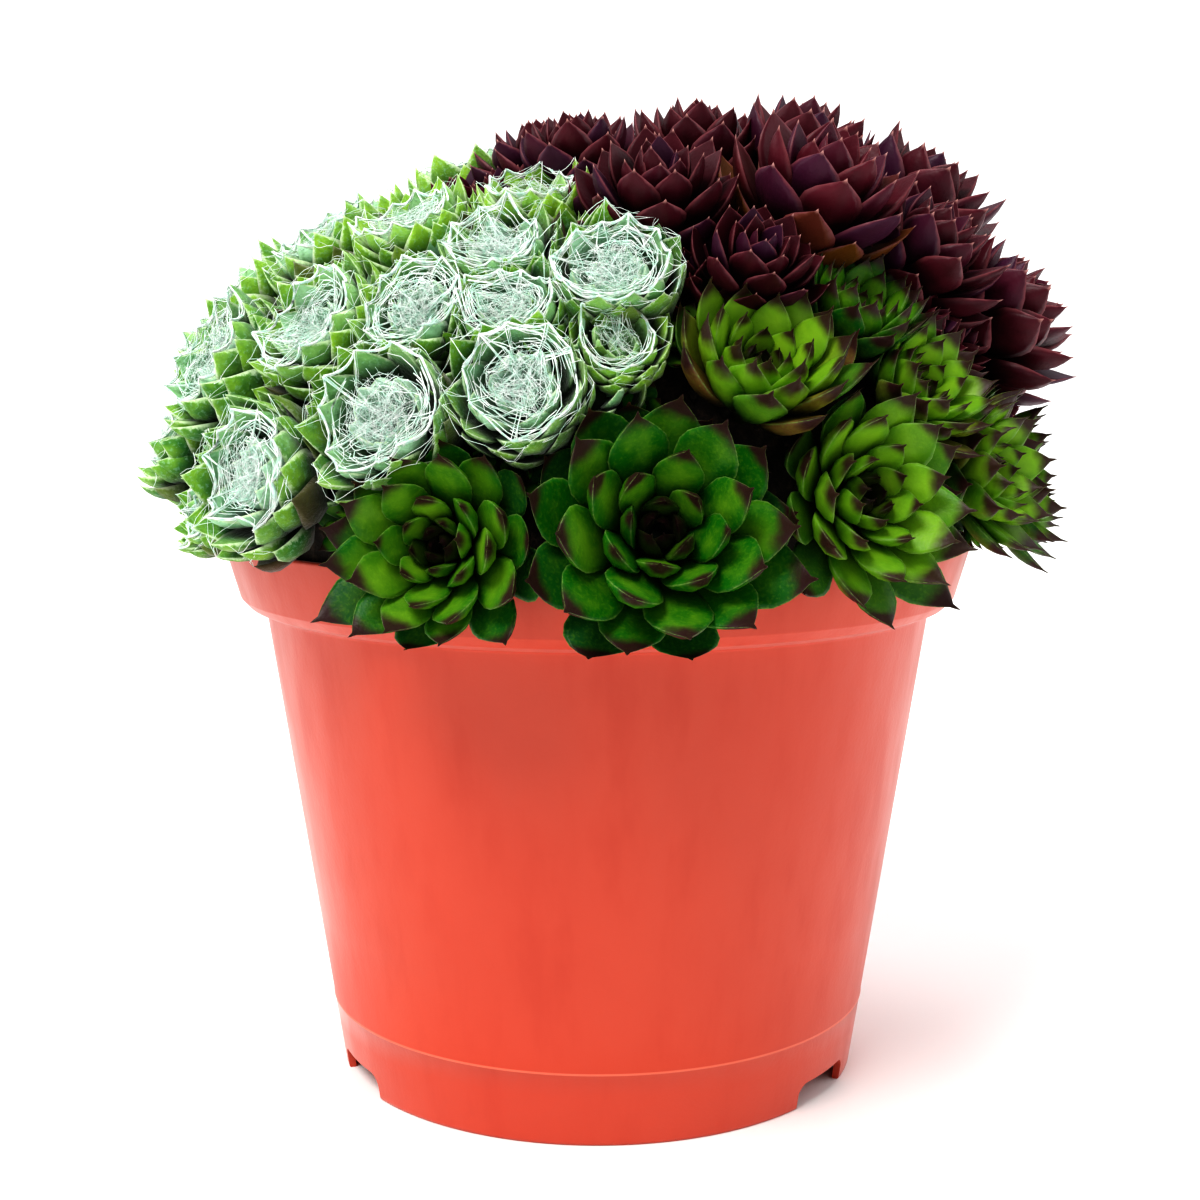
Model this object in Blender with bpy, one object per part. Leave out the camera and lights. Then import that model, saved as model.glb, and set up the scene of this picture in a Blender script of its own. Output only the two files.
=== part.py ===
"""Hens and chicks (Sempervivum) in a nursery pot.

A 14 cm plastic pot holds a domed cushion of three kinds of houseleek: cobweb, green and dark red.
Metres, +Z up, origin under the pot at the middle of its foot. Azimuths are in degrees from the
front (-Y), growing towards +X. Run with: blender --background --python part.py
"""

import math
import random

import bmesh
import bpy
import numpy as np

MM = 0.001
TURN = 2.0 * math.pi

# Pot, in millimetres
POT_HEIGHT = 101.0
RIM_RADIUS = 70.0
BAND_BOTTOM = 90.5
BAND_BOTTOM_RADIUS = 67.0
SHOULDER_BOTTOM = 87.7
SHOULDER_RADIUS = 62.3
FOOT_RADIUS = 49.1
RIM_ROUND = 0.4
SHOULDER_ROUND = 1.3
POT_WALL = 1.3
FLOOR_HEIGHT = 5.0
FLOOR_THICKNESS = 1.6
POT_SIDES = 48
NOTCH_AZIMUTHS = (-63.5, 56.5, 176.5)
NOTCH_WIDTH = 17.0
NOTCH_HEIGHT = 4.6
NOTCH_CORNER = 2.5
NOTCH_REACH = 8.0
CUT_MARGIN = 2.0
DRAIN_COUNT = 6
DRAIN_RADIUS = 4.0
DRAIN_CIRCLE = 33.0
DRAIN_START = 11.0
DRAIN_SIDES = 8

# Compost, in millimetres: it fills the pot and carries on up as a dome
SEAT_GAP = 0.3
COMPOST_GAP = 0.45
DOME_RADIUS = 68.0
DOME_BASE = 106.0
DOME_HEIGHT = 53.0
DOME_POWER = 2.2
DOME_SHIFT = 6.5  # how far its top stands to the right of the pot's middle
DOME_STEPS = 9
COMPOST_SIDES = 32

# Rosettes, in millimetres. The stems near the rim are longer, to carry the leaves out over it.
STEM_DEPTH = 6.0
STEM_SHOWING = 1.0
HOLE_TOP = 4.0
RIM_STEM_SHOWING = 2.4
RIM_ELEVATION = 10.0
CORE_LOWEST = 0.9
CORE_NARROWING = 0.8
CORE_RISE = 0.9
COLLAR_HEIGHT = 0.5
THINNEST_LEAF = 1.2
OVERHANG = 11.0
NEIGHBOUR_GAP = 0.4
NEIGHBOUR_REACH = 2.2
LEAST_ROOM = 0.5
CELL_POWER = 6.0
SEED = 20

# How much each leaf may stray from its row: turn and rise in degrees, and length as a share
LEAF_STRAY = {"turn": 2.3, "rise": 2.5, "length": (0.94, 1.04)}

# What each kind of houseleek is like. Lengths are for a rosette of the given radius, and pairs of
# values are those of the outermost and the innermost row of leaves.
KINDS = {
    "cobweb": {
        "radius": 10.0, "height": 13.0, "leaves_in_row": 6, "rows": 3, "stem": 1.7,
        "core_radius": 6.0, "core_height": 9.0, "length": (13.2, 6.8), "width": (7.8, 4.6),
        "thickness": (2.0, 1.6), "rise": (14.0, 58.0), "curl": (84.0, 50.0), "widest": 0.52,
        "colour": (0.28, 0.49, 0.26, 1.0), "roughness": 0.62,
    },
    "green": {
        "radius": 17.0, "height": 16.0, "leaves_in_row": 7, "rows": 4, "stem": 2.3,
        "core_radius": 6.4, "core_height": 9.0, "length": (17.0, 7.0), "width": (9.0, 4.0),
        "thickness": (2.6, 1.8), "rise": (10.0, 58.0), "curl": (30.0, 44.0), "widest": 0.6,
        "colour": (0.09, 0.27, 0.03, 1.0), "roughness": 0.45,
    },
    "red": {
        "radius": 12.5, "height": 21.0, "leaves_in_row": 6, "rows": 3, "stem": 2.1,
        "core_radius": 5.8, "core_height": 11.0, "length": (16.0, 12.5), "width": (7.8, 5.4),
        "thickness": (2.3, 1.9), "rise": (20.0, 66.0), "curl": (32.0, 18.0), "widest": 0.52,
        "colour": (0.075, 0.022, 0.03, 1.0), "roughness": 0.5,
    },
}

# Where each rosette sits: azimuth and elevation of its foot seen from the middle of the dome,
# its radius, and how far its axis leans up from the dome's own normal. Angles in degrees.
ROSETTES = {
    "cobweb": [
        (-67, 17, 11, 0), (-44, 5, 12, 4), (-27, 12.7, 12, 0), (-11.4, 17, 11, 0),
        (-28.5, 26.2, 10, -2), (-15, 27.7, 9, -2), (-20.6, 37.2, 9.5, -2), (-1.4, 32.4, 11, -4),
        (0.3, 23.6, 8, 0), (-45, 24.4, 11, -2), (-46, 42.9, 10, 0), (-22.5, 51.4, 9.5, 0),
        (-73, 38, 10, 0), (-89, 25, 10.5, 0), (-59, -1, 9.5, 6), (-80, 6, 11, 4),
        (-100, 5, 11.5, 8), (-121, 5, 13.5, 6), (-108, 25, 12, 0), (-128, 25, 13, 0),
        (-98, 43, 11, 0), (-123, 46, 12.5, 0), (-96, 62, 12, 0),
    ],
    "green": [
        (6.8, -1, 21, 20), (31.7, 4, 17.5, 12), (-17.9, -1.5, 16.5, 10), (18.6, 17.7, 16, 26),
        (44.5, 16.5, 13, 14), (57, 6, 14.5, 6), (79, 4, 16, 6), (106, 4, 16.5, 6), (37, 26.5, 11.5, 18),
    ],
    "red": [
        (36, 42, 16, 4), (5.6, 44.4, 13, 2), (-22, 65, 12, 0), (36, 72, 13, 0), (19.3, 32.1, 11, 4),
        (56, 35, 12.5, 2), (74.5, 25, 12.5, 2), (76, 43.5, 14.5, 0), (66, 60, 13.5, 0),
        (92, 23, 12.5, 2), (115, 23, 15, 2), (134, 5, 14.5, 14), (160, 5, 13.8, 16),
        (-173, 5, 13.8, 16), (-146, 5, 15, 12), (140, 23, 15, 2), (165, 23, 15, 2),
        (-170, 23, 15, 2), (-146, 23, 14.5, 2), (106, 44, 15, 0), (142, 44, 15, 0),
        (176, 44, 15, 0), (-151, 44, 14.5, 0), (128, 66, 14, 0), (-165, 66, 14, 0),
        (-56, 71, 11.5, 0),
    ],
}


def clear_scene():
    for obj in list(bpy.data.objects):
        bpy.data.objects.remove(obj, do_unlink=True)


def make_material(name, colour, roughness):
    material = bpy.data.materials.new(name)
    material.use_nodes = True
    shader = material.node_tree.nodes["Principled BSDF"]
    shader.inputs["Base Color"].default_value = colour
    shader.inputs["Roughness"].default_value = roughness
    shader.inputs["Metallic"].default_value = 0.0
    material.diffuse_color = colour
    return material


def add_object(name, points, faces, material=None):
    """Makes an object from points in millimetres."""
    mesh = bpy.data.meshes.new(name)
    mesh.from_pydata([tuple(float(c) * MM for c in p) for p in points], [], faces)
    mesh.validate()
    if material:
        mesh.materials.append(material)
    obj = bpy.data.objects.new(name, mesh)
    bpy.context.scene.collection.objects.link(obj)
    return obj


def turned(name, profile, sides, material=None, closed=True):
    """Turns a profile of (radius, height) points about Z. A point on the axis is a single vertex."""
    points, rings = [], []
    for radius, height in profile:
        if radius < 1e-9:
            rings.append([len(points)])
            points.append((0.0, 0.0, height))
            continue
        rings.append(list(range(len(points), len(points) + sides)))
        for side in range(sides):
            angle = TURN * side / sides
            points.append((radius * math.cos(angle), radius * math.sin(angle), height))
    faces = []
    pairs = list(zip(rings, rings[1:] + rings[:1])) if closed else list(zip(rings, rings[1:]))
    for low, high in pairs:
        for side in range(sides):
            after = (side + 1) % sides
            if len(low) == 1 and len(high) == 1:
                break
            if len(low) == 1:
                faces.append((low[0], high[after], high[side]))
            elif len(high) == 1:
                faces.append((low[side], low[after], high[0]))
            else:
                faces.append((low[side], low[after], high[after], high[side]))
    obj = add_object(name, points, faces, material)
    obj.data.shade_smooth()
    obj.data.set_sharp_from_angle(angle=math.radians(35.0))
    return obj


def make_cutter(obj):
    obj.hide_render = True
    obj.display_type = "WIRE"
    return obj


def cut(obj, cutter):
    boolean = obj.modifiers.new("cut_" + cutter.name, "BOOLEAN")
    boolean.operation = "DIFFERENCE"
    boolean.solver = "EXACT"
    boolean.object = cutter


def outward(azimuth):
    """The horizontal direction at an azimuth in degrees: 0 is the front, -Y."""
    angle = math.radians(azimuth)
    return np.array([math.sin(angle), -math.cos(angle), 0.0])


# Pot
def body_radius(height):
    """Outer radius of the pot's cone at a height."""
    return FOOT_RADIUS + (SHOULDER_RADIUS - FOOT_RADIUS) * height / SHOULDER_BOTTOM


def inside_profile():
    """The pot's inside from the floor to the rim, as (radius, height): the wall steps with the band."""
    floor_top = FLOOR_HEIGHT + FLOOR_THICKNESS
    return [
        (body_radius(floor_top) - POT_WALL, floor_top),
        (SHOULDER_RADIUS - POT_WALL, SHOULDER_BOTTOM),
        (BAND_BOTTOM_RADIUS - POT_WALL, BAND_BOTTOM),
        (RIM_RADIUS - POT_WALL, POT_HEIGHT),
    ]


def make_pot():
    plastic = make_material("pot_plastic", (0.82, 0.11, 0.055, 1.0), 0.55)
    outside = [
        (FOOT_RADIUS, 0.0),
        (SHOULDER_RADIUS, SHOULDER_BOTTOM),
        (BAND_BOTTOM_RADIUS - SHOULDER_ROUND, SHOULDER_BOTTOM + SHOULDER_ROUND),
        (BAND_BOTTOM_RADIUS, BAND_BOTTOM),
        (RIM_RADIUS, POT_HEIGHT - RIM_ROUND),
        (RIM_RADIUS - RIM_ROUND, POT_HEIGHT),
    ]
    inside = inside_profile()[::-1]
    under = [
        (0.0, FLOOR_HEIGHT + FLOOR_THICKNESS),
        (0.0, FLOOR_HEIGHT),
        (body_radius(FLOOR_HEIGHT) - POT_WALL, FLOOR_HEIGHT),
        (FOOT_RADIUS - POT_WALL, 0.0),
    ]
    pot = turned("pot", outside + inside + under, POT_SIDES, plastic)
    for number, azimuth in enumerate(NOTCH_AZIMUTHS, 1):
        cut(pot, make_notch_cutter(f"notch_{number}", azimuth))
    low, high = FLOOR_HEIGHT - CUT_MARGIN, FLOOR_HEIGHT + FLOOR_THICKNESS + CUT_MARGIN
    for number in range(DRAIN_COUNT):
        drain = turned(
            f"drain_{number + 1}",
            [(0.0, low), (DRAIN_RADIUS, low), (DRAIN_RADIUS, high), (0.0, high)],
            DRAIN_SIDES, closed=False,
        )
        drain.location = outward(DRAIN_START + 360.0 * number / DRAIN_COUNT) * DRAIN_CIRCLE * MM
        cut(pot, make_cutter(drain))
    return pot


def make_notch_cutter(name, azimuth):
    """An arch pushed through the foot's skirt: flat below, with both upper corners cut off."""
    half = NOTCH_WIDTH / 2.0
    corner = NOTCH_CORNER
    arch = [
        (-half, -CUT_MARGIN), (half, -CUT_MARGIN), (half, NOTCH_HEIGHT - corner),
        (half - corner, NOTCH_HEIGHT), (corner - half, NOTCH_HEIGHT), (-half, NOTCH_HEIGHT - corner),
    ]
    out = outward(azimuth)
    across = np.array([-out[1], out[0], 0.0])
    count = len(arch)
    points = []
    for reach in (FOOT_RADIUS - NOTCH_REACH, FOOT_RADIUS + CUT_MARGIN):
        for side, height in arch:
            points.append(out * reach + across * side + np.array([0.0, 0.0, height]))
    faces = [tuple(range(count)), tuple(range(2 * count - 1, count - 1, -1))]
    for i in range(count):
        after = (i + 1) % count
        faces.append((after, i, count + i, count + after))
    cutter = make_cutter(add_object(name, points, faces))
    make_outward(cutter)
    return cutter


def make_outward(obj):
    mesh = bmesh.new()
    mesh.from_mesh(obj.data)
    bmesh.ops.recalc_face_normals(mesh, faces=mesh.faces)
    mesh.to_mesh(obj.data)
    mesh.free()


# Compost
def dome_shift(height):
    """How far the dome stands to the right at a height above its base, so that its top is off centre."""
    return DOME_SHIFT * max(height, 0.0) / DOME_HEIGHT


def dome_point(azimuth, elevation):
    """The dome's surface in a direction from its middle, and its normal's elevation in degrees.

    The dome is a superellipse turned about Z and then slanted to the right:
    (r / DOME_RADIUS)^p + (z / DOME_HEIGHT)^p = 1.
    """
    across, up = math.cos(math.radians(elevation)), math.sin(math.radians(elevation))
    rise = max(up, 0.0)
    reach = ((across / DOME_RADIUS) ** DOME_POWER + (rise / DOME_HEIGHT) ** DOME_POWER) ** (-1 / DOME_POWER)
    radius, height = reach * across, reach * up
    slope_r = (radius / DOME_RADIUS) ** (DOME_POWER - 1.0) / DOME_RADIUS
    slope_z = (max(height, 0.0) / DOME_HEIGHT) ** (DOME_POWER - 1.0) / DOME_HEIGHT
    point = outward(azimuth) * radius + np.array([dome_shift(height), 0.0, DOME_BASE + height])
    slant = DOME_SHIFT / DOME_HEIGHT if height > 0.0 else 0.0
    slope_z -= slant * outward(azimuth)[0] * slope_r
    return point, math.degrees(math.atan2(slope_z, slope_r))


def make_compost(rosettes):
    soil = make_material("compost", (0.035, 0.022, 0.014, 1.0), 0.95)
    inside = inside_profile()
    profile = [(0.0, inside[0][1] + SEAT_GAP)]
    for radius, height in inside[:-1]:
        profile.append((radius - COMPOST_GAP, height + SEAT_GAP))
    profile.append((inside[-1][0] - COMPOST_GAP, POT_HEIGHT))
    profile.append((DOME_RADIUS, DOME_BASE))
    for step in range(1, DOME_STEPS):
        point, _ = dome_point(0.0, 90.0 * step / DOME_STEPS)
        profile.append((-point[1], point[2]))
    profile.append((0.0, DOME_BASE + DOME_HEIGHT))
    compost = turned("compost", profile, COMPOST_SIDES, soil, closed=False)
    for vertex in compost.data.vertices:
        vertex.co.x += dome_shift(vertex.co.z / MM - DOME_BASE) * MM
    points, faces = [], []
    for rosette in rosettes:
        hole_points, hole_faces = stem_prism(rosette, rosette["stem"] + SEAT_GAP, STEM_DEPTH + SEAT_GAP)
        faces += [tuple(len(points) + v for v in face) for face in hole_faces]
        points += hole_points
    cutter = make_cutter(add_object("stem_holes", points, faces))
    make_outward(cutter)
    cut(compost, cutter)
    return compost


def stem_prism(rosette, radius, depth):
    """A prism round a rosette's stem, with a side for each leaf of a row, so that the two match."""
    sides = rosette["leaves_in_row"]
    points = []
    for height in (-rosette["lift"] - depth, HOLE_TOP):
        for side in range(sides):
            angle = rosette["spin"] + TURN * side / sides
            points.append(to_world(rosette, radius * math.cos(angle), radius * math.sin(angle), height))
    faces = [tuple(range(sides)), tuple(range(2 * sides - 1, sides - 1, -1))]
    for side in range(sides):
        after = (side + 1) % sides
        faces.append((after, side, sides + side, sides + after))
    return points, faces


# Rosettes
def place_rosettes():
    """Every rosette with its size, frame and cell, from the layout above."""
    rng = random.Random(SEED)
    rosettes = []
    for kind, rows in ROSETTES.items():
        for number, (azimuth, elevation, radius, lean) in enumerate(rows, 1):
            foot, normal = dome_point(azimuth, elevation)
            tilt = math.radians(normal + lean)
            axis = outward(azimuth) * math.cos(tilt) + np.array([0.0, 0.0, math.sin(tilt)])
            side = np.cross([0.0, 0.0, 1.0], axis)
            side = side / np.linalg.norm(side)
            size = radius / KINDS[kind]["radius"]
            lift = RIM_STEM_SHOWING if elevation < RIM_ELEVATION else STEM_SHOWING
            rosettes.append({
                "name": f"{kind}_{number:02d}", "kind": kind, "radius": radius, "size": size,
                "lift": lift, "foot": foot + axis * lift, "axis": axis, "side": side,
                "up": np.cross(axis, side), "spin": rng.uniform(0.0, TURN),
                "stem": KINDS[kind]["stem"], "leaves_in_row": KINDS[kind]["leaves_in_row"],
                "seed": rng.randrange(10**6),
            })
    for rosette in rosettes:
        rosette["walls"] = cell_walls(rosette, rosettes)
    return rosettes


def to_world(rosette, a, b, w):
    return rosette["foot"] + rosette["side"] * a + rosette["up"] * b + rosette["axis"] * w


def heart(rosette):
    """The middle of a rosette, half way up its axis."""
    return to_world(rosette, 0.0, 0.0, 0.5 * KINDS[rosette["kind"]]["height"] * rosette["size"])


def cell_walls(rosette, rosettes):
    """Planes (normal, offset) between a rosette and its neighbours, set by their radii.

    A rosette that stays inside its planes is clear of every other rosette. The first plane is
    the height down to which leaves hang over the rim.
    """
    walls = [(np.array([0.0, 0.0, -1.0]), OVERHANG - POT_HEIGHT)]
    here = heart(rosette)
    for other in rosettes:
        if other is rosette:
            continue
        away = heart(other) - here
        distance = float(np.linalg.norm(away))
        if distance > NEIGHBOUR_REACH * (rosette["radius"] + other["radius"]):
            continue
        normal = away / distance
        share = distance * rosette["radius"] / (rosette["radius"] + other["radius"]) - NEIGHBOUR_GAP / 2
        walls.append((normal, float(normal @ here) + share))
    return walls


def settle(rosette, a, b, w):
    """Bends a point of a rosette clear of its neighbours, and gives it in world millimetres.

    The point's distance r from the axis becomes (r^-p + sum of wall distances^-p)^(-1/p), where
    each wall's distance is measured along the point's own direction from the axis.
    """
    radius = math.hypot(a, b)
    if radius < 1e-6:
        return to_world(rosette, a, b, w)
    direction = (rosette["side"] * a + rosette["up"] * b) / radius
    centre = to_world(rosette, 0.0, 0.0, w)
    total = radius ** -CELL_POWER
    for normal, offset in rosette["walls"]:
        toward = float(normal @ direction)
        room = offset - float(normal @ centre)
        if toward > 1e-6:
            total += (toward / max(room, LEAST_ROOM)) ** CELL_POWER
    return centre + direction * total ** (-1.0 / CELL_POWER)


def between(pair, share):
    return pair[0] + (pair[1] - pair[0]) * share


def core_rings(kind, size, spin):
    """The core's net as rings of points, from the lowest up.

    Ring j has a point every 1/n turn, turned by half a step from ring j - 1, on an egg-like
    profile: its radius falls with the cosine, and its height grows with the sine, of an angle.
    """
    count, last = kind["leaves_in_row"], kind["rows"] + 1
    rings = []
    for j in range(last + 1):
        angle = 0.5 * math.pi * j / last
        radius = kind["core_radius"] * size * math.cos(CORE_NARROWING * angle)
        height = CORE_LOWEST + kind["core_height"] * size * math.sin(CORE_RISE * angle)
        turns = [spin + (i + 0.5 * j) * TURN / count for i in range(count)]
        rings.append([(radius * math.cos(t), radius * math.sin(t), height) for t in turns])
    return rings


def leaf_points(kind, size, share, base, rng):
    """A leaf's keel, right edge, left edge and tip, for the four base points of its diamond.

    share is 0 in the outermost row and 1 in the innermost. The leaf leaves the core at the rise
    of its row, and curls up by the curl over its length.
    """
    length = between(kind["length"], share) * size * rng.uniform(*LEAF_STRAY["length"])
    half_width = 0.5 * between(kind["width"], share) * size
    thickness = max(between(kind["thickness"], share) * size, THINNEST_LEAF)
    middle = np.mean(base, axis=0)
    turn = math.atan2(middle[1], middle[0])
    turn += math.radians(rng.uniform(-LEAF_STRAY["turn"], LEAF_STRAY["turn"]))
    rise = between(kind["rise"], share) + rng.uniform(-LEAF_STRAY["rise"], LEAF_STRAY["rise"])
    curl = between(kind["curl"], share)
    out = np.array([math.cos(turn), math.sin(turn), 0.0])
    across = np.array([-math.sin(turn), math.cos(turn), 0.0])
    up = np.array([0.0, 0.0, 1.0])
    widest = kind["widest"]
    lower = math.radians(rise + 0.5 * curl * widest)
    upper = math.radians(rise + 0.5 * curl * (1.0 + widest))
    wide = middle + (out * math.cos(lower) + up * math.sin(lower)) * length * widest
    tip = wide + (out * math.cos(upper) + up * math.sin(upper)) * length * (1.0 - widest)
    face_up = up * math.cos(lower) - out * math.sin(lower)
    return [wide - face_up * thickness, wide + across * half_width, wide - across * half_width, tip]


def leaf_faces(low, right, high, left, keel):
    """A leaf's faces from its diamond to its keel, right edge, left edge and tip, in that order."""
    right_edge, left_edge, tip = keel + 1, keel + 2, keel + 3
    return [
        (low, right, right_edge, keel),
        (right, high, right_edge),
        (high, left_edge, right_edge),
        (high, left, left_edge),
        (left, low, keel, left_edge),
        (keel, right_edge, tip),
        (right_edge, left_edge, tip),
        (left_edge, keel, tip),
    ]


def make_rosette(rosette, material):
    """One closed body: a stem, a core like a pine cone, and a leaf out of each of its diamonds."""
    kind = KINDS[rosette["kind"]]
    size, count, rows = rosette["size"], kind["leaves_in_row"], kind["rows"]
    rng = random.Random(rosette["seed"])
    points, rings = [], []
    for ring in core_rings(kind, size, rosette["spin"]):
        rings.append(list(range(len(points), len(points) + count)))
        points += ring
    turns = [rosette["spin"] + TURN * i / count for i in range(count)]
    for height in (COLLAR_HEIGHT, -rosette["lift"] - STEM_DEPTH):
        rings.append(list(range(len(points), len(points) + count)))
        points += [(rosette["stem"] * math.cos(t), rosette["stem"] * math.sin(t), height) for t in turns]
    collar, bottom = rings.pop(-2), rings.pop(-1)
    crown = len(points)
    points.append((0.0, 0.0, CORE_LOWEST + kind["core_height"] * size))

    faces = [tuple(reversed(bottom))]
    for i in range(count):
        after = (i + 1) % count
        faces.append((bottom[i], bottom[after], collar[after], collar[i]))
        faces.append((collar[i], collar[after], rings[0][after], rings[0][i]))
        faces.append((rings[0][i], rings[0][after], rings[1][i]))
        faces.append((rings[-1][i - 1], rings[-2][i], rings[-1][i]))
        faces.append((rings[-1][i - 1], rings[-1][i], crown))
    for row in range(rows):
        for i in range(count):
            diamond = (rings[row][i], rings[row + 1][i], rings[row + 2][i - 1], rings[row + 1][i - 1])
            faces += leaf_faces(*diamond, len(points))
            points += leaf_points(kind, size, row / (rows - 1), [points[v] for v in diamond], rng)

    world = [settle(rosette, *(float(c) for c in point)) for point in points]
    return add_object(rosette["name"], world, faces, material)


def main():
    clear_scene()
    make_pot()
    rosettes = place_rosettes()
    make_compost(rosettes)
    leaves = {
        kind: make_material(f"{kind}_leaf", values["colour"], values["roughness"])
        for kind, values in KINDS.items()
    }
    for rosette in rosettes:
        make_rosette(rosette, leaves[rosette["kind"]])


main()
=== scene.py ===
import math
import random

import bpy
import numpy as np
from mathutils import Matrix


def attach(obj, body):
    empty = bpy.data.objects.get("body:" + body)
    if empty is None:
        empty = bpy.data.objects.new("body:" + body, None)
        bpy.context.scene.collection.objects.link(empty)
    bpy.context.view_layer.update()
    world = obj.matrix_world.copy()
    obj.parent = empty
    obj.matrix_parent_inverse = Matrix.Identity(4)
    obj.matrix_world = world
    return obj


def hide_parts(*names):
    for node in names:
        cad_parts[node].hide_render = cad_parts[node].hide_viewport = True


# Hens and chicks in a nursery pot: the leaves, webs, pot and compost as they look.
# Shapes are worked out in millimetres, +Z up, and become metres when a mesh is made.

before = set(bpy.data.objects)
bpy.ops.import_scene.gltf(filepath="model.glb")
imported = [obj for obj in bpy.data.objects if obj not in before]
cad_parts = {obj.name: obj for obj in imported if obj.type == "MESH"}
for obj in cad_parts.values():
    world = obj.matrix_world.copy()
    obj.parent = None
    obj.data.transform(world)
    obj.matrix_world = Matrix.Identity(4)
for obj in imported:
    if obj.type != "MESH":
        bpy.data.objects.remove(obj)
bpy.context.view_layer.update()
scene = bpy.context.scene
mm = 0.001
turn = 2.0 * math.pi
goldenAngle = math.radians(137.508)
print("frame loaded")


# Camera, lights and floor

cameraSetup = {
    "eye": (0.0, -0.3506, 0.1353),  # metres
    "pitchDown": 7.72,              # degrees below the horizon
    "lens": 55.5,
    "sensor": 36.0,
    "shiftX": 0.002,
    "clipStart": 0.01,
}


def makeCamera():
    data = bpy.data.cameras.new("photoCamera")
    data.lens = cameraSetup["lens"]
    data.sensor_width = cameraSetup["sensor"]
    data.shift_x = cameraSetup["shiftX"]
    data.clip_start = cameraSetup["clipStart"]
    camera = bpy.data.objects.new("photoCamera", data)
    camera.location = cameraSetup["eye"]
    camera.rotation_euler = (math.radians(90.0 - cameraSetup["pitchDown"]), 0.0, 0.0)
    scene.collection.objects.link(camera)
    scene.camera = camera


# Wide suns, so that shadows are soft: the azimuth that each shines from, counted from the front to
# the right, its elevation and how wide it looks, in degrees, and its strength
lamps = {
    "keyLamp": {"azimuth": -34.0, "elevation": 54.0, "wide": 26.0, "power": 2.15,
                "colour": (1.0, 0.985, 0.95)},
    "topLamp": {"azimuth": 160.0, "elevation": 66.0, "wide": 40.0, "power": 0.9},
    "leftLamp": {"azimuth": -108.0, "elevation": 22.0, "wide": 50.0, "power": 0.55},
    "rightLamp": {"azimuth": 100.0, "elevation": 24.0, "wide": 50.0, "power": 0.75},
}
skyLight = {"seen": 1.0, "cast": 0.42}  # how bright the white sky looks, and how much it lights


def makeLamps():
    for name, setup in lamps.items():
        data = bpy.data.lights.new(name, "SUN")
        data.angle = math.radians(setup["wide"])
        data.energy = setup["power"]
        data.color = setup.get("colour", (1.0, 1.0, 1.0))
        lamp = bpy.data.objects.new(name, data)
        tipped, turned = math.radians(90.0 - setup["elevation"]), math.radians(setup["azimuth"])
        lamp.rotation_euler = (tipped, 0.0, turned)
        scene.collection.objects.link(lamp)
    world = bpy.data.worlds.new("studio")
    world.use_nodes = True
    background = world.node_tree.nodes["Background"]
    background.inputs["Color"].default_value = (1.0, 1.0, 1.0, 1.0)
    seen = addNode(world.node_tree, "ShaderNodeLightPath").outputs["Is Camera Ray"]
    strength = smoothStep(world.node_tree, seen, 0.0, 1.0, skyLight["cast"], skyLight["seen"])
    world.node_tree.links.new(strength, background.inputs["Strength"])
    scene.world = world
    scene.view_settings.view_transform = "Standard"
    scene.view_settings.look = "High Contrast"


# Node helpers

def newMaterial(name, roughness):
    material = bpy.data.materials.new(name)
    material.use_nodes = True
    shader = material.node_tree.nodes["Principled BSDF"]
    shader.inputs["Roughness"].default_value = roughness
    return material, material.node_tree, shader


def addNode(tree, kind, inputs=None, **settings):
    made = tree.nodes.new(kind)
    for key, value in settings.items():
        setattr(made, key, value)
    for key, value in (inputs or {}).items():
        if isinstance(value, bpy.types.NodeSocket):
            tree.links.new(value, made.inputs[key])
        else:
            made.inputs[key].default_value = value
    return made


def attributeValue(tree, name):
    return addNode(tree, "ShaderNodeAttribute", attribute_name=name).outputs["Fac"]


def mathNode(tree, operation, first, second=0.0, third=0.0):
    inputs = {0: first, 1: second, 2: third}
    return addNode(tree, "ShaderNodeMath", inputs, operation=operation).outputs[0]


def smoothStep(tree, value, low, high, start=0.0, end=1.0):
    # Eases from start to end as the value goes from low to high
    inputs = {"Value": value, "From Min": low, "From Max": high, "To Min": start, "To Max": end}
    return addNode(tree, "ShaderNodeMapRange", inputs, interpolation_type="SMOOTHSTEP").outputs["Result"]


def mixColour(tree, factor, first, second):
    return addNode(tree, "ShaderNodeMix", {0: factor, 6: first, 7: second}, data_type="RGBA").outputs[2]


def noiseValue(tree, vector, scale, detail=2.0, roughness=0.5):
    inputs = {"Vector": vector, "Scale": scale, "Detail": detail, "Roughness": roughness}
    return addNode(tree, "ShaderNodeTexNoise", inputs).outputs["Fac"]


def objectCoordinates(tree):
    return addNode(tree, "ShaderNodeTexCoord").outputs["Object"]


def addBump(tree, shader, height, distance, strength=1.0, under=None):
    inputs = {"Height": height, "Distance": distance, "Strength": strength}
    if under:
        inputs["Normal"] = under
    normal = addNode(tree, "ShaderNodeBump", inputs).outputs["Normal"]
    tree.links.new(normal, shader.inputs["Normal"])
    return normal


def addedUp(tree, values, start, shares, steps):
    # start + the sum of share times value + the sum of the values eased by smoothStep
    total = start
    for key, share in shares.items():
        total = mathNode(tree, "MULTIPLY_ADD", values[key], share, total)
    for key, *span in steps:
        total = mathNode(tree, "ADD", total, smoothStep(tree, values[key], *span))
    return total


def paintLayers(tree, values, colours, colour, layers):
    # Lays colours over the first one. Each layer is a colour's name, then the values that it follows:
    # a value's name, from where to where it goes, and how much is covered at each end, 0 and 1 where
    # nothing is said. The covers are multiplied.
    for name, *steps in layers:
        covers = [smoothStep(tree, values[key], *span) for key, *span in steps]
        cover = covers[0]
        for other in covers[1:]:
            cover = mathNode(tree, "MULTIPLY", cover, other)
        colour = mixColour(tree, cover, colour, colours[name])
    return colour


def setSockets(shader, settings):
    for key, value in settings.items():
        shader.inputs[key].default_value = value


# Mesh helpers

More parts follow.
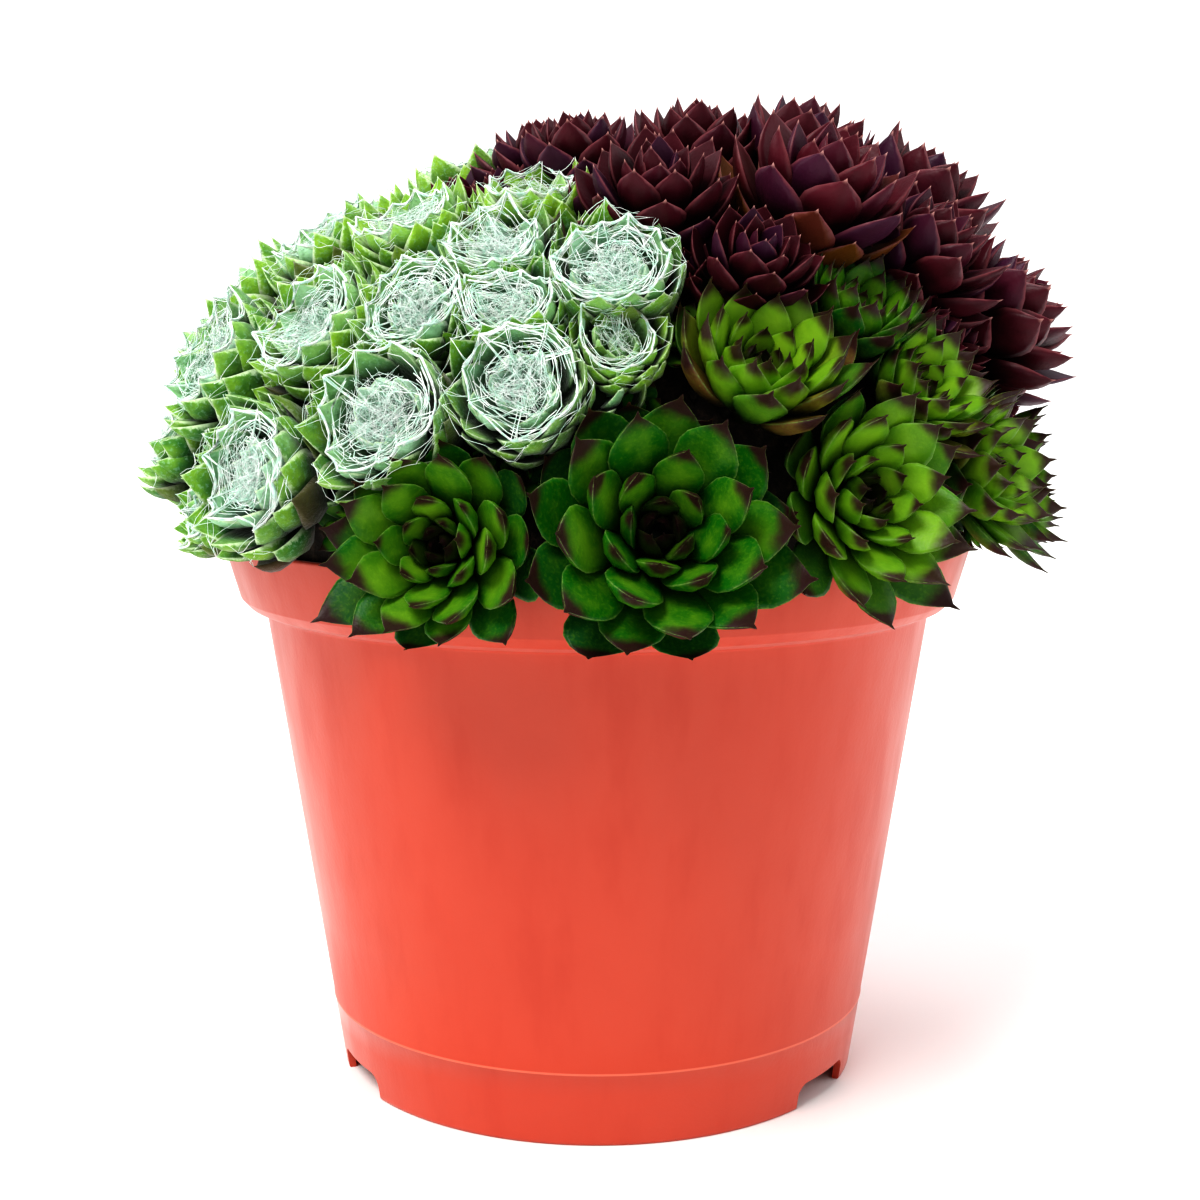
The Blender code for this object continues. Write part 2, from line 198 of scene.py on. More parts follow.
def buildMesh(name, points, faceSets, material, values=None, flat=False):
    # points: millimetres. faceSets: arrays of corner numbers, one row for each face.
    # values: numbers kept on the points for the material, by attribute name.
    corners = np.concatenate([np.asarray(faces).ravel() for faces in faceSets])
    sizes = np.concatenate([np.full(len(faces), np.asarray(faces).shape[1]) for faces in faceSets])
    mesh = bpy.data.meshes.new(name)
    mesh.vertices.add(len(points))
    mesh.vertices.foreach_set("co", (np.asarray(points) * mm).astype(np.float32).ravel())
    mesh.loops.add(len(corners))
    mesh.loops.foreach_set("vertex_index", corners.astype(np.int32))
    mesh.polygons.add(len(sizes))
    mesh.polygons.foreach_set("loop_start", (np.cumsum(sizes) - sizes).astype(np.int32))
    mesh.update(calc_edges=True)
    for key, value in (values or {}).items():
        attribute = mesh.attributes.new(key, "FLOAT", "POINT")
        attribute.data.foreach_set("value", np.asarray(value, np.float32).ravel())
    mesh.validate()
    if not flat:
        mesh.shade_smooth()
    mesh.materials.append(material)
    obj = bpy.data.objects.new(name, mesh)
    scene.collection.objects.link(obj)
    return obj


def gridFaces(rows, columns):
    # Quads between neighbouring rows, each row of points closed into a loop
    row, column = np.meshgrid(np.arange(rows - 1), np.arange(columns), indexing="ij")
    after = (column + 1) % columns
    quads = np.stack([row * columns + column, row * columns + after,
                      (row + 1) * columns + after, (row + 1) * columns + column], -1)
    return quads.reshape(-1, 4)


def tubeFaces(rows, columns):
    # A closed tube: quads between its rows of points, and one face at each end
    column = np.arange(columns)
    return [gridFaces(rows, columns), column[::-1][None], ((rows - 1) * columns + column)[None]]


def poleFaces(start, columns, pole, facesDown=False):
    # Triangles between a pole and the ring of points that begins at start
    column = np.arange(columns)
    after = (column + 1) % columns
    first, second = (after, column) if facesDown else (column, after)
    return np.stack([start + first, start + second, np.full(columns, pole)], -1)


def turnedAbout(radius, height, angle):
    # A profile turned about Z: x = radius cos(angle), y = radius sin(angle), z = height
    return np.stack([radius[:, None] * np.cos(angle), radius[:, None] * np.sin(angle),
                     np.broadcast_to(height[:, None], (len(radius), len(angle)))], -1)


def repeated(faces, count, step):
    # The same faces for count copies whose points follow each other, step points apart
    offsets = np.arange(count)[:, None, None] * step
    return (np.asarray(faces)[None] + offsets).reshape(-1, np.asarray(faces).shape[1])


def joinParts(parts):
    # Joins (points, face sets) into one list of points and its faces
    points, faces, start = [], [], 0
    for somePoints, faceSets in parts:
        points.append(somePoints)
        faces += [np.asarray(part) + start for part in faceSets]
        start += len(somePoints)
    return np.concatenate(points), faces


def waves(points, length, count, seed):
    # Soft bumps, mostly between -1 and 1: plane waves of about one length in random directions,
    # added up and divided by sqrt(2 count)
    rng = np.random.default_rng(seed)
    direction = rng.normal(size=(count, 3))
    direction /= np.linalg.norm(direction, axis=1)[:, None]
    direction *= turn / length / rng.uniform(0.7, 1.5, (count, 1))
    return np.sin(points @ direction.T + rng.uniform(0.0, turn, count)).mean(1) * math.sqrt(count / 2.0)


# Where the rosettes sit: a dome of compost that slants to the right by its shift, as in the frame,
# and a rosette on each place. Azimuths are those of the frame. Some feet, radii and leans are not
# quite, by up to 1 degree, 3 mm and 10 degrees, so that the outline is nearer the real plant's.
# Each rosette: azimuth from the front and elevation of its foot on the dome in degrees, its radius
# in millimetres, how far its axis leans up from the dome's own normal in degrees, its tone from 0,
# dull and dark, to 1, fresh and yellow, and how much steeper its leaves stand in degrees.

dome = {"radius": 68.0, "base": 106.0, "height": 53.0, "power": 2.2, "shift": 6.5}
layout = {
    "cobweb": [
        (-67, 17.5, 12.5, 2, 0.35, 0), (-44, 5, 12, 4, 0.3, 0), (-27, 12.7, 12, 0, 0.3, 0),
        (-11.4, 17, 11, 0, 0.45, 0), (-28.5, 26.2, 10, -2, 0.4, 0), (-15, 27.7, 9, -2, 0.4, 0),
        (-20.6, 37.2, 9.5, -2, 0.4, 0), (-1.4, 32.4, 11, -4, 0.35, 0), (0.3, 23.6, 8, 0, 1.0, 0),
        (-45, 24.4, 11, -2, 0.65, 0), (-46, 42.9, 10, 0, 0.75, 0), (-22.5, 51.4, 9.5, 0, 0.95, 0),
        (-73, 38, 11, 0, 0.55, 0), (-89, 25, 13.5, 2, 0.5, 0), (-59, 0, 7.5, 16, 0.4, 12),
        (-80, 7, 10.5, 12, 0.35, 10), (-100, 5, 11.5, 10, 0.3, 6), (-121, 5, 13.5, 6, 0.4, 0),
        (-108, 25, 12, 0, 0.5, 0), (-128, 25, 13, 0, 0.35, 0), (-98, 43, 11, 0, 0.6, 0),
        (-123, 46, 12.5, 0, 0.45, 0), (-96, 62, 12, 0, 0.55, 0),
    ],
    "green": [
        (6.8, -1, 22, 20, 0.0, 4), (31.7, 4, 18, 12, 0.5, 6), (-17.9, -1.5, 17.5, 10, 0.2, 6),
        (18.6, 17.7, 17, 26, 0.7, 28), (44.5, 16.5, 14, 14, 0.62, 26), (57, 6, 14.5, 10, 0.6, 20),
        (79, 4, 14.8, 12, 0.4, 14), (106, 4, 16, 10, 0.3, 12), (37, 26.5, 13, 18, 0.2, 36),
    ],
    "red": [
        (36, 42, 16, 4, 1.0, -6), (5.6, 44.4, 13, 2, 0.35, 0), (-22, 65, 12, 0, 0.5, 0),
        (36, 72, 13, 0, 0.5, 0), (19.3, 32.1, 11, 4, 0.2, 0), (56, 35, 13.5, 2, 0.3, 0),
        (74.5, 25, 14.5, 4, 0.5, 0), (76, 43.5, 16.5, 0, 0.4, 0), (66, 60, 15.5, 0, 0.5, 0),
        (92, 23, 13.5, 4, 0.5, 0), (115, 23, 15, 2, 0.4, 0), (134, 5, 14.5, 14, 0.5, 0),
        (160, 5, 13.8, 16, 0.4, 0), (-173, 5, 13.8, 16, 0.5, 0), (-146, 5, 15, 12, 0.4, 0),
        (140, 23, 15, 2, 0.6, 0), (165, 23, 15, 2, 0.4, 0), (-170, 23, 15, 2, 0.5, 0),
        (-146, 23, 14.5, 2, 0.4, 0), (106, 44, 15, 0, 0.5, 0), (142, 44, 15, 0, 0.4, 0),
        (176, 44, 15, 0, 0.6, 0), (-151, 44, 14.5, 0, 0.5, 0), (128, 66, 14, 0, 0.4, 0),
        (-165, 66, 14, 0, 0.5, 0), (-56, 71, 11.5, 0, 0.4, 0),
    ],
}
# Stems: how much shows over the compost, how much where the foot is below rimElevation and the
# leaves have to clear the rim, and how deep a stem goes
stand = {"stemShowing": 1.0, "rimStemShowing": 2.4, "rimElevation": 10.0, "stemDepth": 6.0}
# Leaves bend clear of walls towards the neighbours: how near a neighbour counts, as a multiple of
# both radii, how far leaves may pass its wall, the least room they keep, how suddenly they bend,
# and the height that no leaf hangs below
crowding = {"reach": 2.2, "slack": 1.5, "leastRoom": 0.5, "power": 6.0, "lowestLeaf": 90.3}
layoutSeed = 20

# What each kind is like. Lengths are for a rosette of the given radius, and the groups of three
# values are those of the outermost leaves, of the leaves that make the crown, and of the heart.
# whorl: how many leaves stand level in a ring, or 0 for leaves on one spiral.
# stray: how irregular the leaves are, as a multiple of leafStray.
kinds = {
    "cobweb": {
        "slot": "cobweb_leaf", "radius": 10.0, "height": 13.0, "stem": 1.7, "leafCount": 46,
        "whorl": 10, "crownShare": 0.5, "baseRadius": (4.8, 4.6, 0.4), "baseHeight": (1.4, 3.6, 3.4),
        "length": (12.2, 10.6, 3.4), "width": (7.2, 7.0, 3.0), "thickness": (2.1, 1.8, 1.1),
        "rise": (-2.0, 36.0, 66.0), "curl": (92.0, 50.0, 44.0), "curlPower": 1.0,
        "widest": 0.52, "foot": 0.62, "round": (1.5, 0.86), "point": 0.05, "cup": 0.26,
        "stations": 9, "around": 8, "stray": 1.7,
    },
    "green": {
        "slot": "green_leaf", "radius": 17.0, "height": 16.0, "stem": 2.3, "leafCount": 40,
        "whorl": 0, "crownShare": 0.5, "baseRadius": (5.4, 4.6, 0.5), "baseHeight": (1.6, 4.2, 4.2),
        "length": (19.5, 14.8, 5.0), "width": (8.8, 7.8, 3.2), "thickness": (2.8, 2.5, 1.5),
        "rise": (2.0, 36.0, 72.0), "curl": (24.0, 36.0, 44.0), "curlPower": 1.3,
        "widest": 0.57, "foot": 0.52, "round": (1.3, 0.98), "point": 0.07, "cup": 0.14,
        "stations": 11, "around": 10, "stray": 1.0,
    },
    "red": {
        "slot": "red_leaf", "radius": 12.5, "height": 21.0, "stem": 2.1, "leafCount": 32,
        "whorl": 0, "crownShare": 0.42, "baseRadius": (5.0, 4.0, 0.8), "baseHeight": (2.5, 6.0, 9.6),
        "length": (15.0, 13.5, 9.5), "width": (8.7, 8.4, 5.4), "thickness": (2.6, 2.3, 1.5),
        "rise": (10.0, 42.0, 80.0), "curl": (34.0, 28.0, 8.0), "curlPower": 1.2,
        "widest": 0.56, "foot": 0.6, "round": (1.8, 0.84), "point": 0.06, "cup": 0.2,
        "stations": 9, "around": 8, "stray": 1.3,
    },
}
# How far single leaves stray: turn, rise and roll in degrees, length and sway as shares of their
# length, width as a share of what a length would stray, and how much calmer the heart is
leafStray = {"turn": 5.0, "rise": 4.0, "length": 0.07, "width": 0.6, "roll": 6.0, "sway": 0.06, "calm": 0.6}
# For every kind: how closely the rings of a leaf follow each other towards its tip, how wide its
# point is, how its lens rounds off, its shares above and below the middle, and how it thins
leafForm = {"tipward": 1.45, "point": 0.09, "lens": 1.5, "above": 0.34, "below": 0.66, "thinning": 0.75}
# The blunt cone that carries the leaves: where it starts on the stem, its flare and its top
coreForm = {"start": 0.4, "flare": 0.92, "flareHeight": 1.0, "top": 1.0, "columns": 10}


def outward(azimuth):
    angle = math.radians(azimuth)
    return np.array([math.sin(angle), -math.cos(angle), 0.0])


def domeShift(z):
    # The dome slants to the right as it rises, so that its top is off centre
    return dome["shift"] * np.clip((z - dome["base"]) / dome["height"], 0.0, 1.0)


def domeReach(across, up):
    # How far out the dome is in a direction: (across r / radius)^p + (up r / height)^p = 1
    power = dome["power"]
    return ((across / dome["radius"]) ** power + (up / dome["height"]) ** power) ** (-1.0 / power)


def domePoint(azimuth, elevation):
    # A point on the slanted dome, and the elevation of its normal in degrees
    power = dome["power"]
    across, up = math.cos(math.radians(elevation)), math.sin(math.radians(elevation))
    reach = domeReach(across, max(up, 0.0))
    radius, height = reach * across, reach * up
    slopeR = (radius / dome["radius"]) ** (power - 1.0) / dome["radius"]
    slopeZ = (max(height, 0.0) / dome["height"]) ** (power - 1.0) / dome["height"]
    point = outward(azimuth) * radius + np.array([0.0, 0.0, dome["base"] + height])
    point[0] += domeShift(point[2])
    if height > 0.0:
        slopeZ -= dome["shift"] / dome["height"] * outward(azimuth)[0] * slopeR
    return point, math.degrees(math.atan2(slopeZ, slopeR))


def standing(azimuth, elevation):
    # An axis that points out at the azimuth and up at the elevation, and a frame that stands on it
    tilt = math.radians(elevation)
    axis = outward(azimuth) * math.cos(tilt) + np.array([0.0, 0.0, math.sin(tilt)])
    side = np.cross([0.0, 0.0, 1.0], axis)
    side = side / np.linalg.norm(side)
    return axis, np.array([side, np.cross(axis, side), axis])


def placeRosettes():
    rng = random.Random(layoutSeed)
    rosettes = []
    for kind, rows in layout.items():
        for number, (azimuth, elevation, radius, lean, tone, steeper) in enumerate(rows, 1):
            foot, normal = domePoint(azimuth, elevation)
            axis, basis = standing(azimuth, normal + lean)
            showing = stand["rimStemShowing"] if elevation < stand["rimElevation"] else stand["stemShowing"]
            rosettes.append({
                "node": f"{kind}_{number:02d}", "name": f"{kind}Rosette{number:02d}", "kind": kind,
                "number": number, "radius": radius, "size": radius / kinds[kind]["radius"],
                "lift": showing, "foot": foot + axis * showing, "basis": basis,
                "tone": tone, "steeper": steeper,
                "spin": rng.uniform(0.0, turn), "seed": rng.randrange(10**6),
            })
    for rosette in rosettes:
        rosette["walls"] = cellWalls(rosette, rosettes)
    return rosettes


def heartPoint(rosette):
    # Halfway up the rosette's axis
    height = 0.5 * kinds[rosette["kind"]]["height"] * rosette["size"]
    return rosette["foot"] + np.array([0.0, 0.0, height]) @ rosette["basis"]


def cellWalls(rosette, rosettes):
    # Planes (normal, offset): one below all leaves, and one towards each neighbour, set by both radii
    walls = [(np.array([0.0, 0.0, -1.0]), -crowding["lowestLeaf"])]
    here = heartPoint(rosette)
    for other in rosettes:
        away = heartPoint(other) - here
        distance = float(np.linalg.norm(away))
        if other is rosette or distance > crowding["reach"] * (rosette["radius"] + other["radius"]):
            continue
        normal = away / distance
        share = distance * rosette["radius"] / (rosette["radius"] + other["radius"]) + crowding["slack"]
        walls.append((normal, float(normal @ here) + share))
    return walls


def settle(rosette, local):
    # Bends points clear of the neighbours: the distance r from the axis becomes
    # (r^-p + sum of wall distances^-p)^(-1/p), each wall measured along the point's own direction
    local = np.asarray(local, float)
    radius = np.maximum(np.hypot(local[:, 0], local[:, 1]), 1e-4)
    direction = (local[:, :2] / radius[:, None]) @ rosette["basis"][:2]
    centre = rosette["foot"] + local[:, 2:] * rosette["basis"][2]
    total = radius ** -crowding["power"]
    for normal, offset in rosette["walls"]:
        toward = np.maximum(direction @ normal, 0.0)
        room = np.maximum(offset - centre @ normal, crowding["leastRoom"])
        total += (toward / room) ** crowding["power"]
    return centre + direction * (total ** (-1.0 / crowding["power"]))[:, None]


# Leaves

def leafWidth(kind, t):
    # Share of the full width along the leaf: it grows as a sine from the foot to the widest place,
    # then closes as (1 - s^p)^q, and ends in a short narrow point
    widest, footShare, point = kind["widest"], kind["foot"], kind["point"]
    low = footShare + (1.0 - footShare) * np.sin(0.5 * math.pi * np.clip(t / widest, 0.0, 1.0))
    s = np.clip((t - widest) / (1.0 - point - widest), 0.0, 1.0)
    high = (1.0 - s ** kind["round"][0]) ** kind["round"][1]
    spike = leafForm["point"] * np.clip((1.0 - t) / point, 0.0, 1.0)
    return np.where(t < widest, low, np.maximum(high, spike))


def leafStations(count):
    # Places along the leaf, closer together towards the tip: 1 - (1 - x)^c
    x = np.linspace(0.0, 1.0, count)
    return 1.0 - (1.0 - x) ** leafForm["tipward"]


def growLeaves(rosette):
    # The leaves of a rosette as one value for each leaf, from the outermost to the heart
    kind, size = kinds[rosette["kind"]], rosette["size"]
    rng = np.random.default_rng(rosette["seed"])
    count = rosette.get("leafCount", kind["leafCount"])
    order = np.arange(count)
    share = order / (count - 1.0)
    places = (0.0, kind["crownShare"], 1.0)

    def along(key):
        return np.interp(share, places, kind[key])

    def stray(key):
        return rng.uniform(-1.0, 1.0, count) * leafStray[key] * kind["stray"]

    fade = 1.0 - leafStray["calm"] * share  # the heart is more regular
    whorl = kind["whorl"]
    turns = (order + 0.5 * (order // whorl)) * turn / whorl if whorl else order * goldenAngle
    return {
        "share": share,
        "turn": rosette["spin"] + turns + np.radians(stray("turn")) * fade,
        "baseRadius": along("baseRadius") * size,
        "baseHeight": along("baseHeight") * size,
        "length": along("length") * size * (1.0 + stray("length")),
        "halfWidth": 0.5 * along("width") * size * (1.0 + leafStray["width"] * stray("length")),
        "thickness": along("thickness") * size,
        "rise": np.radians(along("rise") + rosette["steeper"] * (1.0 - share) + stray("rise") * fade),
        "curl": np.radians(along("curl")),
        "roll": np.radians(stray("roll")),
        "sway": stray("sway"),
        "tint": rng.uniform(0.0, 1.0, count),
    }


def leafSurfaces(kind, leaves):
    # Every leaf as a closed surface in the rosette's own frame. The centre line turns from its rise
    # by its curl, and the cross-section is a lens: across = cos(q) and bulge = |sin(q)|^e, fuller
    # below than above, with both edges raised by the cup.
    count, around = len(leaves["share"]), kind["around"]
    t = leafStations(kind["stations"])

    def column(key):
        return leaves[key][:, None]

    angle = column("rise") + column("curl") * t[None] ** kind["curlPower"]
    steps = np.diff(t)[None] * column("length")
    middle = 0.5 * (angle[:, 1:] + angle[:, :-1])
    out = column("baseRadius") + np.pad(np.cumsum(np.cos(middle) * steps, 1), ((0, 0), (1, 0)))
    up = column("baseHeight") + np.pad(np.cumsum(np.sin(middle) * steps, 1), ((0, 0), (1, 0)))
    width = leafWidth(kind, t)[None] * column("halfWidth")
    full = np.where(t < kind["widest"], 1.0, leafWidth(kind, t) ** leafForm["thinning"])[None]
    full = full * column("thickness")

    q = turn * np.arange(around) / around
    x = np.cos(q)
    bulge = np.abs(np.sin(q)) ** leafForm["lens"]
    bulge = bulge * np.where(np.sin(q) > 0.0, leafForm["above"], -leafForm["below"])
    across = width[:, :, None] * x
    lift = full[:, :, None] * bulge + kind["cup"] * width[:, :, None] * x ** 2
    roll = leaves["roll"][:, None, None]
    sideways = across * np.cos(roll) - lift * np.sin(roll)
    sideways = sideways + (leaves["sway"] * leaves["length"])[:, None, None] * t[None, :, None] ** 2
    raised = across * np.sin(roll) + lift * np.cos(roll)
    radial = out[:, :, None] - raised * np.sin(angle)[:, :, None]
    height = up[:, :, None] + raised * np.cos(angle)[:, :, None]
    cos, sin = np.cos(leaves["turn"])[:, None, None], np.sin(leaves["turn"])[:, None, None]
    points = np.stack([radial * cos - sideways * sin, radial * sin + sideways * cos, height], -1)

    body = points[:, :-1].reshape(count, -1, 3)
    tip = points[:, -1].mean(1, keepdims=True)
    ones = np.ones((count, kind["stations"] - 1, around))
    values = {
        "along": ones * t[None, :-1, None],
        "edge": ones * np.abs(x),
        "row": ones * leaves["share"][:, None, None],
        "tint": ones * leaves["tint"][:, None, None],
    }
    ends = {"along": 1.0, "edge": 0.5, "row": leaves["share"], "tint": leaves["tint"]}
    joined = {
        key: np.concatenate([value.reshape(count, -1), np.broadcast_to(ends[key], count)[:, None]], 1)
        for key, value in values.items()
    }
    return np.concatenate([body, tip], 1), joined


def leafFaces(kind, count):
    # Quads round the leaf, a fan at its tip and one face that closes its foot, for every leaf
    rings, around = kind["stations"] - 1, kind["around"]
    step = rings * around + 1
    fan = poleFaces((rings - 1) * around, around, step - 1)
    foot = np.arange(around)[::-1][None]
    return [repeated(faces, count, step) for faces in (gridFaces(rings, around), fan, foot)]


def coreSurface(rosette):
    # The stem and the blunt cone that the leaves grow from, turned about the rosette's axis
    kind, size, form = kinds[rosette["kind"]], rosette["size"], coreForm
    radii, heights = kind["baseRadius"], kind["baseHeight"]
    profile = np.array([
        (kind["stem"], -rosette["lift"] - stand["stemDepth"]), (kind["stem"], form["start"]),
        (radii[0] * size * form["flare"], form["flareHeight"]), (radii[0] * size, heights[0] * size),
        (radii[1] * size, heights[1] * size), (radii[2] * size, (heights[2] + form["top"]) * size),
    ])
    angle = rosette["spin"] + turn * np.arange(form["columns"]) / form["columns"]
    rings = turnedAbout(profile[:, 0], profile[:, 1], angle)
    return rings.reshape(-1, 3), tubeFaces(len(profile), form["columns"])


def rosetteShape(rosette):
    # The points, faces and point values of a whole rosette, bent clear of its neighbours
    kind = kinds[rosette["kind"]]
    surfaces, values = leafSurfaces(kind, growLeaves(rosette))
    core, coreFaces = coreSurface(rosette)
    count, step = surfaces.shape[:2]
    points = settle(rosette, np.concatenate([surfaces.reshape(-1, 3), core]))
    coreValues = {"along": 0.0, "edge": 0.0, "row": 0.0, "tint": 0.5}
    merged = {
        key: np.concatenate([value.ravel(), np.full(len(core), coreValues[key])])
        for key, value in values.items()
    }
    merged["tone"] = np.full(len(points), rosette["tone"])
    return points, leafFaces(kind, count) + [part + count * step for part in coreFaces], merged


def makeRosette(rosette, material):
    kind = kinds[rosette["kind"]]
    points, faces, values = rosetteShape(rosette)
    piece = buildMesh(rosette["name"], points, faces, material, values)
    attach(piece, "root")
    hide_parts(rosette["node"])
    # The web is strung from the tips and from both edges, two rings below them
    count, rings, around = kind["leafCount"], kind["stations"] - 1, kind["around"]
    placed = points[:count * (rings * around + 1)].reshape(count, -1, 3)
    edge = (rings - 2) * around
    rosette["tips"] = placed[:, -1]
    rosette["leftEdges"], rosette["rightEdges"] = placed[:, edge], placed[:, edge + around // 2]


# Young rosettes that fill the gaps between the others: how many spots are tried, how open a spot
# has to be, as a share of the nearest radii, how far apart they stand, how large they grow, how
# high over the compost they sit and how much steeper their leaves stand
pupSetup = {
    "spots": 2400, "open": 0.84, "apart": 7.0, "radius": (5.0, 7.5), "leafCount": 16, "over": 1.5,
    "steeper": 12.0, "seed": 3,
}


def findGaps(rosettes):
    setup = pupSetup
    order = np.arange(setup["spots"]) + 0.5
    elevation = np.degrees(np.arcsin(order / setup["spots"]))
    azimuth = np.degrees(order * goldenAngle)
    feet = np.array([rosette["foot"] for rosette in rosettes])
    radii = np.array([rosette["radius"] for rosette in rosettes])
    found = []
    for turned, risen in zip(azimuth, elevation):
        point, normal = domePoint(turned, risen)
        distances = np.linalg.norm(feet - point, axis=1)
        if (distances / radii).min() < setup["open"]:
            continue
        if all(np.linalg.norm(point - other[0]) > setup["apart"] for other in found):
            found.append((point, normal, turned, rosettes[int(np.argmin(distances / radii))]))
    return found


def makePups(rosettes, materials):
    setup = pupSetup
    rng = np.random.default_rng(setup["seed"])
    shapes = {kind: [] for kind in kinds}
    for point, normal, turned, nearest in findGaps(rosettes):
        name = nearest["kind"]
        radius = rng.uniform(*setup["radius"])
        axis, basis = standing(turned, normal)
        pup = {
            "kind": name, "radius": radius, "size": radius / kinds[name]["radius"], "lift": 0.0,
            "foot": point + axis * setup["over"], "basis": basis, "tone": nearest["tone"],
            "steeper": setup["steeper"], "spin": rng.uniform(0.0, turn),
            "seed": int(rng.integers(10**6)), "leafCount": setup["leafCount"],
        }
        pup["walls"] = cellWalls(pup, rosettes)
        shapes[name].append(rosetteShape(pup))
    for name, made in shapes.items():
        if not made:
            continue
        points, faces = joinParts([shape[:2] for shape in made])
        values = {key: np.concatenate([shape[2][key] for shape in made]) for key in made[0][2]}
        piece = buildMesh(f"{name}Pups", points, faces, materials[name], values)
        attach(piece, "root")
    print("pups:", {name: len(made) for name, made in shapes.items()})


